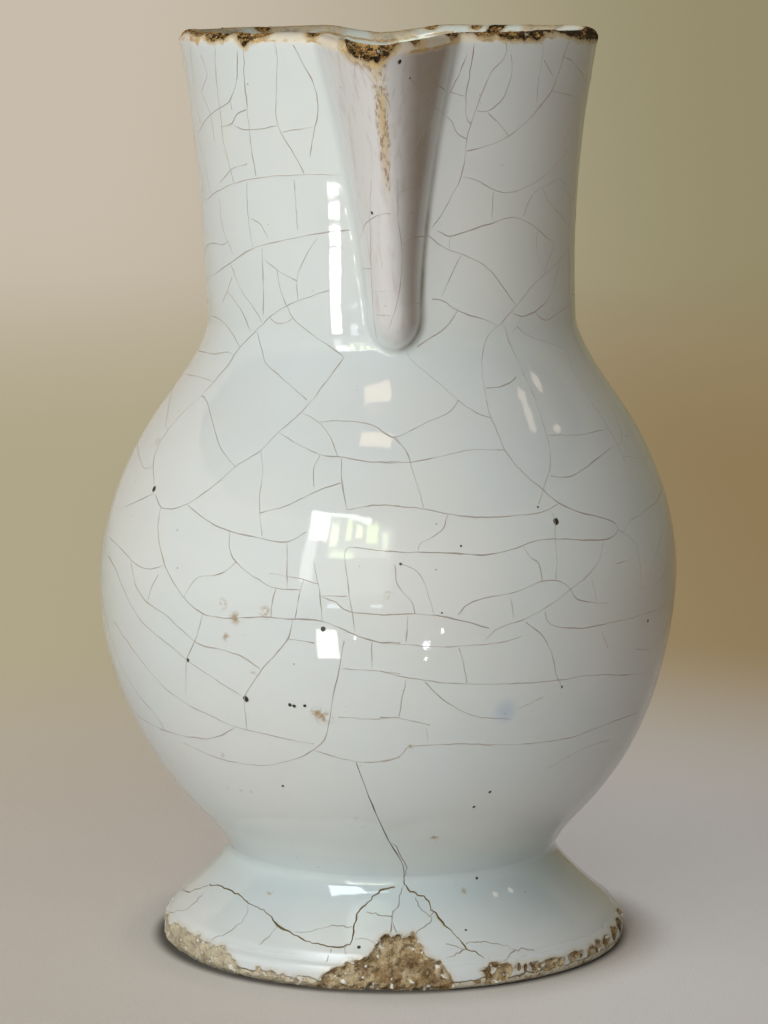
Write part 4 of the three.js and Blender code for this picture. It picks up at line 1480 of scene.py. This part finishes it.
# %% Cracks through the foot
FOOT_CRACKS = """
356 762, 361 776, 368 794, 377 816, 385 834, 395 852, 404 866, 404 878, 404 884
390 842, 396 848, 403 860, 406 870, 404 880
181 889, 189 892, 203 887, 215 885, 225 889, 239 895, 247 902, 261 909, 271 917, 278 926, \
291 933, 305 940, 321 944, 339 947, 347 945, 352 938, 355 926, 357 916, 363 906, 370 901, \
377 893, 387 888, 395 887
404 884, 412 891, 420 896, 427 899, 432 909, 442 922, 450 931, 460 940, 469 950, 478 952, 484 958
295 932, 309 932, 321 928, 341 926, 355 927
248 904, 248 912, 233 929, 211 940
277 926, 268 938, 259 945
164 914, 173 912, 189 907, 203 894
347 945, 345 952, 348 957
367 912, 381 915, 393 917
355 938, 367 940, 377 944
331 949, 326 962
404 885, 399 898, 398 908, 392 912, 393 924, 398 938, 401 945
393 910, 393 920, 390 932, 388 942
416 897, 420 908, 430 916, 431 922, 420 930, 412 938, 408 942
432 909, 430 916
466 944, 476 942, 488 942, 502 945, 516 950, 526 949, 534 950
516 950, 508 956, 505 962, 505 970
469 950, 460 952, 446 959
446 944, 456 947, 469 950
"""
STAINED_FOOT_CRACKS = (2, 3)  # places in that list, counted from 0
print(len(FOOT_CRACKS.split("\n")) - 2, "lines of pixels on the foot")

# %% From pixels to lines on the glaze
LIFT = 0.02  # mm that a line stands out of the glaze


def smoothed(values, passes=2):
    """Runs of values averaged with their neighbours, ends kept."""
    values = np.array(values, float)
    for _ in range(passes):
        if len(values) > 2:
            values[1:-1] = (values[:-2] + 2 * values[1:-1] + values[2:]) / 4
    return values


def thin_line(points, normals, width, age):
    """A crack: its points and outward directions, its width in mm, and how dark it is."""
    return {"points": np.array(points, float), "normals": smoothed(normals, 3), "width": width, "age": age}


def cracks_from(text, width, age, shake=0.35, rounding=1):
    """The cracks that lines of pixels stand for, each a smooth curve on the glaze."""
    found = []
    for row in text.strip().splitlines():
        pixels = [tuple(float(n) for n in pair.split()) for pair in row.split(",")]
        curve = smooth_line(pixels, 3)
        curve[1:-1] += smoothed(chance.normal(0, shake, (len(curve), 2)), rounding)[1:-1]
        hits = [hit for hit in (on_glaze(u, v) for u, v in curve) if hit]
        clear = [hit for hit in hits if hit[3].data.polygons[hit[4]].material_index == GLAZED]
        if len(clear) > 1:
            points, normals = [hit[1][:] for hit in clear], [hit[2][:] for hit in clear]
            wide, dark = width * chance.uniform(0.8, 1.2), age * chance.uniform(0.7, 1.1)
            found.append(thin_line(points, normals, wide, dark))
    return found


# %% The cracks that were followed
FOLLOWED_WIDTH, GROWN_WIDTH, FINE_AGE = 0.165, 0.16, 0.5
FOOT_WIDTH, FOOT_AGE = 0.21, 0.75
STAINED_WIDTH, STAINED_AGE = 0.34, 1.4
MAIN_WIDTH, MAIN_AGE = 0.24, 1.0  # the long crack that runs down from the belly

cracks = []
for text in (NECK_LEFT_CRACKS, NECK_RIGHT_CRACKS, BEAK_CRACKS, BELLY_LEFT_CRACKS, BELLY_RIGHT_CRACKS):
    cracks += cracks_from(text, FOLLOWED_WIDTH, FINE_AGE)
front_count = len(cracks)
foot_cracks = cracks_from(FOOT_CRACKS, FOOT_WIDTH, FOOT_AGE, shake=0.7, rounding=0)
for number in STAINED_FOOT_CRACKS:
    foot_cracks[number] |= {"width": STAINED_WIDTH, "age": STAINED_AGE}
foot_cracks[0] |= {"width": MAIN_WIDTH, "age": MAIN_AGE}
foot_cracks[0]["points"] = smoothed(foot_cracks[0]["points"], 8)
print(front_count, "cracks followed on the front and", len(foot_cracks), "on the foot")

# %% [markdown]
# ## Growing the rest
# The sides and the back can't be seen, so their cracks are grown by the rule that makes real
# ones. A new crack starts in the middle of a large unbroken patch and runs both ways. Its
# direction drifts a little and on the belly leans towards level, and within a few
# millimetres of an older crack it turns to meet it square. When no patch is left larger than
# the glaze can bear, the growth stops.

# %% Rules for growing cracks
STEP = 0.9
MEET = 1.0  # a crack stops when it is this close to an older one, in mm
FEEL = 5.0  # and starts to turn towards it from here
CRACKLE_LOW, CRACKLE_HIGH = 57, 223.5
LONGEST = 95
SWAY_START, SWAY_KEPT, SWAY_ADDED = 0.02, 0.9, 0.012
LIE_PULL, MEET_PULL = 0.02, 0.22
NECK_RUNS, BELLY_RUNS = (0.42, 0.4), (0.66, 0.28)  # share that runs across, and its spread
FRONT_BEARS, NECK_BEARS, BELLY_BEARS, LOW_BEARS = 11.5, 5.6, 6.6, 4.5  # mm without a crack
SEEDS = 5200
FRONT = math.radians(66)  # inside this the cracks were followed on the photograph
CHUNK = 500  # old points compared at a time, to spare memory


def skin_place(turn, z):
    """Points of the outside at angles from the front and heights, in mm."""
    turn, z = np.atleast_1d(turn).astype(float), np.atleast_1d(z).astype(float)
    return uneven(neck_skin(turn, z))


# %% How one crack grows
def grow(turn, z, heading, old):
    """Walks from a place until it meets an old crack, leaves the glaze or gets too long."""
    walked = []
    sway = chance.normal(0, SWAY_START)
    for step in range(int(LONGEST / STEP)):
        radius = float(body_radius(z))
        turn += math.cos(heading) * STEP / radius
        z += math.sin(heading) * STEP
        if not CRACKLE_LOW < z < CRACKLE_HIGH:
            break
        here = skin_place(turn, z)[0]
        walked.append((turn, z))
        gaps = np.linalg.norm(old - here, axis=1)
        nearest = int(gaps.argmin())
        if step > 3 and gaps[nearest] < MEET:
            walked[-1] = old_places[nearest]
            break
        sway = SWAY_KEPT * sway + chance.normal(0, SWAY_ADDED)
        heading += sway
        if z < NECK_SEAM - 8:
            lie = math.atan2(0.0, math.cos(heading))
            heading += LIE_PULL * math.sin(lie - heading)
        if gaps[nearest] < FEEL and step > 6:
            to_turn, to_z = old_places[nearest]
            aim = math.atan2(to_z - z, (to_turn - turn) * radius)
            heading += MEET_PULL * math.sin(aim - heading)
    return walked


def place_of(points):
    """Angle and height of points in mm on the real jug."""
    x, y, z = (np.asarray(points) - np.array([0, AXIS_Y, 0])).T
    return list(zip(np.arctan2(x, -y), z))


# %% Growing until no patch is too large
old_points = np.vstack([line["points"] for line in cracks])
old_places = place_of(old_points)
seed_turns = chance.uniform(-math.pi, math.pi, SEEDS)
seed_heights = chance.uniform(CRACKLE_LOW + 3, CRACKLE_HIGH - 4, SEEDS)
seeds = skin_place(seed_turns, seed_heights)
behind_handle = (np.abs(seeds[:, 0]) < 12) & (seeds[:, 1] > 20) & (np.abs(seeds[:, 2] - 160) > 32)


def nearest_gap(points):
    """How far each seed is from the nearest of some points, in mm."""
    return np.linalg.norm(seeds[:, None] - points[None], axis=2).min(1)


room = np.full(len(seeds), 99.0)
for first in range(0, len(old_points), CHUNK):
    room = np.minimum(room, nearest_gap(old_points[first:first + CHUNK]))
hidden_bear = np.where(seed_heights > NECK_SEAM, NECK_BEARS, BELLY_BEARS)
low_bear = LOW_BEARS * np.clip((80 - seed_heights) / 22, 0, 1)
bear = np.where(np.abs(seed_turns) < FRONT, FRONT_BEARS, hidden_bear) + low_bear
bear[behind_handle] = 99
while True:
    open_seeds = np.flatnonzero(room > bear)
    if len(open_seeds) == 0:
        break
    seed = open_seeds[np.argmax(room[open_seeds] * chance.uniform(0.6, 1, len(open_seeds)))]
    share, spread = NECK_RUNS if seed_heights[seed] > NECK_SEAM - 6 else BELLY_RUNS
    across = chance.random() < share
    heading = chance.normal(0.0 if across else math.pi / 2, spread)
    start = (seed_turns[seed], seed_heights[seed])
    one_way = grow(*start, heading, old_points)
    other_way = grow(*start, heading + math.pi, old_points)
    places = np.array(one_way[::-1] + [start] + other_way)
    points = skin_place(places[:, 0], places[:, 1])
    if len(points) > 4:
        outward = points - np.array([0, AXIS_Y, 0])
        slope = (body_radius(points[:, 2] + 1) - body_radius(points[:, 2] - 1)) / 2
        normals = outward * [1, 1, 0] / np.linalg.norm(outward[:, :2], axis=1)[:, None]
        normals[:, 2] = -slope
        wide, dark = GROWN_WIDTH * chance.uniform(0.75, 1.15), FINE_AGE * chance.uniform(0.5, 1.1)
        cracks.append(thin_line(points, normals, wide, dark))
    old_points = np.vstack([old_points, points])
    old_places = old_places + [tuple(p) for p in places]
    room = np.minimum(room, nearest_gap(points))
    room[seed] = 0
print("grown:", len(cracks) - front_count, "cracks,", len(old_points), "points in all")

# %% [markdown]
# ## Lines into ribbons
# Geometry Nodes turn the lines into thin ribbons: each line becomes a curve, its normal is
# pointed out of the glaze, and a flat triangle is swept along it, scaled by the width that
# each point stores. The tree is small and its sizes are named inputs, so the same tree makes
# the fine crackle and the wide cracks of the foot.

# %% The ribbon tree
def ribbon_tree(material):
    """A Geometry Nodes tree that sweeps a flat triangle along the edges of a mesh."""
    tree = bpy.data.node_groups.new("crack_ribbons", "GeometryNodeTree")
    tree.interface.new_socket("Geometry", in_out="INPUT", socket_type="NodeSocketGeometry")
    for name, value in (("Wide", 1.0), ("Proud", 0.12)):
        tree.interface.new_socket(name, in_out="INPUT", socket_type="NodeSocketFloat").default_value = value
    tree.interface.new_socket("Geometry", in_out="OUTPUT", socket_type="NodeSocketGeometry")

    def node(kind, settings=None, **sockets):
        made = tree.nodes.new(kind)
        for name, value in (settings or {}).items():
            setattr(made, name, value)
        for name, value in sockets.items():
            plug = made.inputs[name.replace("_", " ")]
            if isinstance(value, bpy.types.NodeSocket):
                tree.links.new(value, plug)
            else:
                plug.default_value = value
        return made.outputs[0] if made.outputs else None

    given = tree.nodes.new("NodeGroupInput").outputs
    outward = node("GeometryNodeInputNamedAttribute", {"data_type": "FLOAT_VECTOR"}, Name="outward")
    width = node("GeometryNodeInputNamedAttribute", {"data_type": "FLOAT"}, Name="width")
    line = node("GeometryNodeMeshToCurve", Mesh=given["Geometry"])
    line = node("GeometryNodeSetCurveNormal", {"mode": "FREE"}, Curve=line, Normal=outward)
    triangle = node("GeometryNodeCurvePrimitiveCircle", Resolution=3, Radius=1.0)
    number = node("GeometryNodeInputIndex")
    is_side = node("FunctionNodeCompare", {"data_type": "INT", "operation": "GREATER_THAN"}, A=number, B=0)
    stored = {"Geometry": triangle, "Name": "side", "Value": is_side}
    triangle = node("GeometryNodeStoreNamedAttribute", {"data_type": "FLOAT"}, **stored)
    size = node("ShaderNodeCombineXYZ", X=given["Proud"], Y=given["Wide"], Z=1.0)
    triangle = node("GeometryNodeTransform", Geometry=triangle, Scale=size)
    swept = node("GeometryNodeCurveToMesh", Curve=line, Profile_Curve=triangle, Scale=width, Fill_Caps=True)
    real = node("GeometryNodeRealizeInstances", Geometry=swept)
    finished = node("GeometryNodeSetMaterial", Geometry=real, Material=material)
    node("NodeGroupOutput", Geometry=finished)
    return tree


# %% Crackle pieces
crack_dirt = bpy.data.materials.new("crack_dirt")
ribbons = ribbon_tree(crack_dirt)
print("ribbon tree:", len(ribbons.nodes), "nodes")
TRIANGLE_SIDE = math.sqrt(3)  # the side of a triangle in a circle of radius 1
TAPER = 4  # points over which the end of a crack gets thin
THIN_END = 0.55
NARROWEST, WIDEST = 0.55, 1.9
FINE_PROUD, FOOT_PROUD = 0.14, 0.1  # how far a ribbon stands out, for a width of 1


def on_mesh(point):
    """The nearest place of the jug's own meshes to a point in mm, and whether it is glazed."""
    found = []
    for piece, skin in skins.items():
        place, _, face, distance = skin.find_nearest(Vector(point) * MM, 0.002)
        if place is not None:
            found.append((distance, place / MM, piece.data.polygons[face].material_index == GLAZED))
    return min(found, key=lambda hit: hit[0])[1:] if found else None


# %% One mesh for many cracks
def ribbon_piece(name, lines, proud):
    """One mesh piece for a list of cracks."""
    points, edges, outward, width, age = [], [], [], [], []
    for line in lines:
        before = None
        count = len(line["points"])
        swell = 1 + 0.9 * smoothed(chance.normal(0, 1, count), 3)
        swell = np.clip(swell, NARROWEST, WIDEST)
        for i, (point, normal) in enumerate(zip(line["points"], line["normals"])):
            hit = on_mesh(point)
            if hit is None or not hit[1]:
                before = None
                continue
            normal = normal / np.linalg.norm(normal)
            begun, left = min(1, (i + 1) / TAPER), min(1, (count - i) / TAPER)
            ends = math.sin(math.pi * begun / 2) * math.sin(math.pi * left / 2)
            taper = THIN_END + (1 - THIN_END) * ends
            if before is not None:
                edges.append((before, len(points)))
            before = len(points)
            points.append(np.array(hit[0]) + LIFT * normal)
            outward.append(normal)
            width.append(line["width"] * swell[i] * taper * MM / TRIANGLE_SIDE)
            age.append(line["age"])
    mesh = bpy.data.meshes.new(name)
    mesh.from_pydata((np.array(points) * MM).tolist(), edges, [])
    mesh.attributes.new("outward", "FLOAT_VECTOR", "POINT").data.foreach_set("vector", np.ravel(outward))
    mesh.attributes.new("width", "FLOAT", "POINT").data.foreach_set("value", width)
    mesh.attributes.new("age", "FLOAT", "POINT").data.foreach_set("value", age)
    piece = new_object(name, mesh)
    sweep = piece.modifiers.new("ribbons", "NODES")
    sweep.node_group = ribbons
    inputs = {item.name: item.identifier for item in ribbons.interface.items_tree if item.in_out == "INPUT"}
    sweep[inputs["Proud"]] = proud
    apply_modifiers(piece)
    print(name, len(lines), "cracks,", len(piece.data.polygons), "faces")
    return piece


crackle = ribbon_piece("crackle", cracks, FINE_PROUD)
old_crack = ribbon_piece("foot_cracks", foot_cracks, FOOT_PROUD)

# %% [markdown]
# ## The dirt in the cracks
# Each ribbon carries the age of its crack, and the colour follows from that: a warm grey in
# the fine crackle, a cold grey in the long crack of the belly, and ochre with a dark middle
# in the two old cracks of the foot, which oil has stained. Near the rim all of them are
# browner.

# %% Dirt in the cracks
dirt_finish = Finish(crack_dirt)
age, side = dirt_finish.value("age"), dirt_finish.value("side")
patchy = dirt_finish.noise(9, 3)
flaky = dirt_finish.noise(1.4, 3, 0.6, shift=6)
line_tone = dirt_finish.blend(age.ease(0.2, 1.0), (190, 181, 172), (110, 102, 92))
line_tone = dirt_finish.blend(patchy.ease(0.4, 0.62) * 0.5, line_tone, (186, 174, 162))
line_tone = dirt_finish.blend(dirt_finish.z.ease(205, 222) * 0.5, line_tone, (146, 112, 66))
line_tone = dirt_finish.blend(age.ease(0.85, 0.98), line_tone, (94, 98, 96))
stained = age.ease(1.1, 1.3)
ochre = dirt_finish.blend(flaky.ease(0.42, 0.6), (168, 150, 100), (118, 98, 50))
ochre = dirt_finish.blend((side + (flaky - 0.5) * 1.2).ease(0.6, 0.2), ochre, (82, 68, 36))
line_tone = dirt_finish.blend(stained, line_tone, ochre)
dirt_finish.surface(line_tone, 0.6)
print("dirt in the cracks:", len(dirt_finish.tree.nodes), "nodes")

# %% [markdown]
# ## Highlights that one piece alone shows
# Some panels would show again on pieces where the photograph has no highlight: the line along
# the beak on the belly, and the doorstep on the foot. Light linking names the one piece that
# may receive the light of each of them.

# %% One piece for each of these panels
SHOWN_ON = {"streak": neck, "doorstep": belly, "foot_bright": foot, "foot_tail": foot}
for name, piece in SHOWN_ON.items():
    only = bpy.data.collections.new(name + "_only")
    only.objects.link(piece)
    bpy.data.objects[name].light_linking.receiver_collection = only

# %% [markdown]
# ## Riding on the frame
# The jug has no moving parts, so every piece rides on the one body. The dressed pieces stand
# for the CAD nodes, which are hidden but stay for the physics. The box of the dressed jug is
# printed at the end.

# %% Finish
PIECES = {
    foot: (("foot",), "tin_glaze"),
    belly: (("belly",), "tin_glaze"),
    neck: (("neck", "spout"), "tin_glaze"),
    handle: (("handle",), "tin_glaze"),
    crackle: ((), "crackle_line"),
    old_crack: ((), "crackle_line"),
}
for piece, (nodes, slot) in PIECES.items():
    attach(piece, "root")
    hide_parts(*nodes)
low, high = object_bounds()
print("visual box in mm:", [round(1000 * v, 2) for v in (*low, *high)])
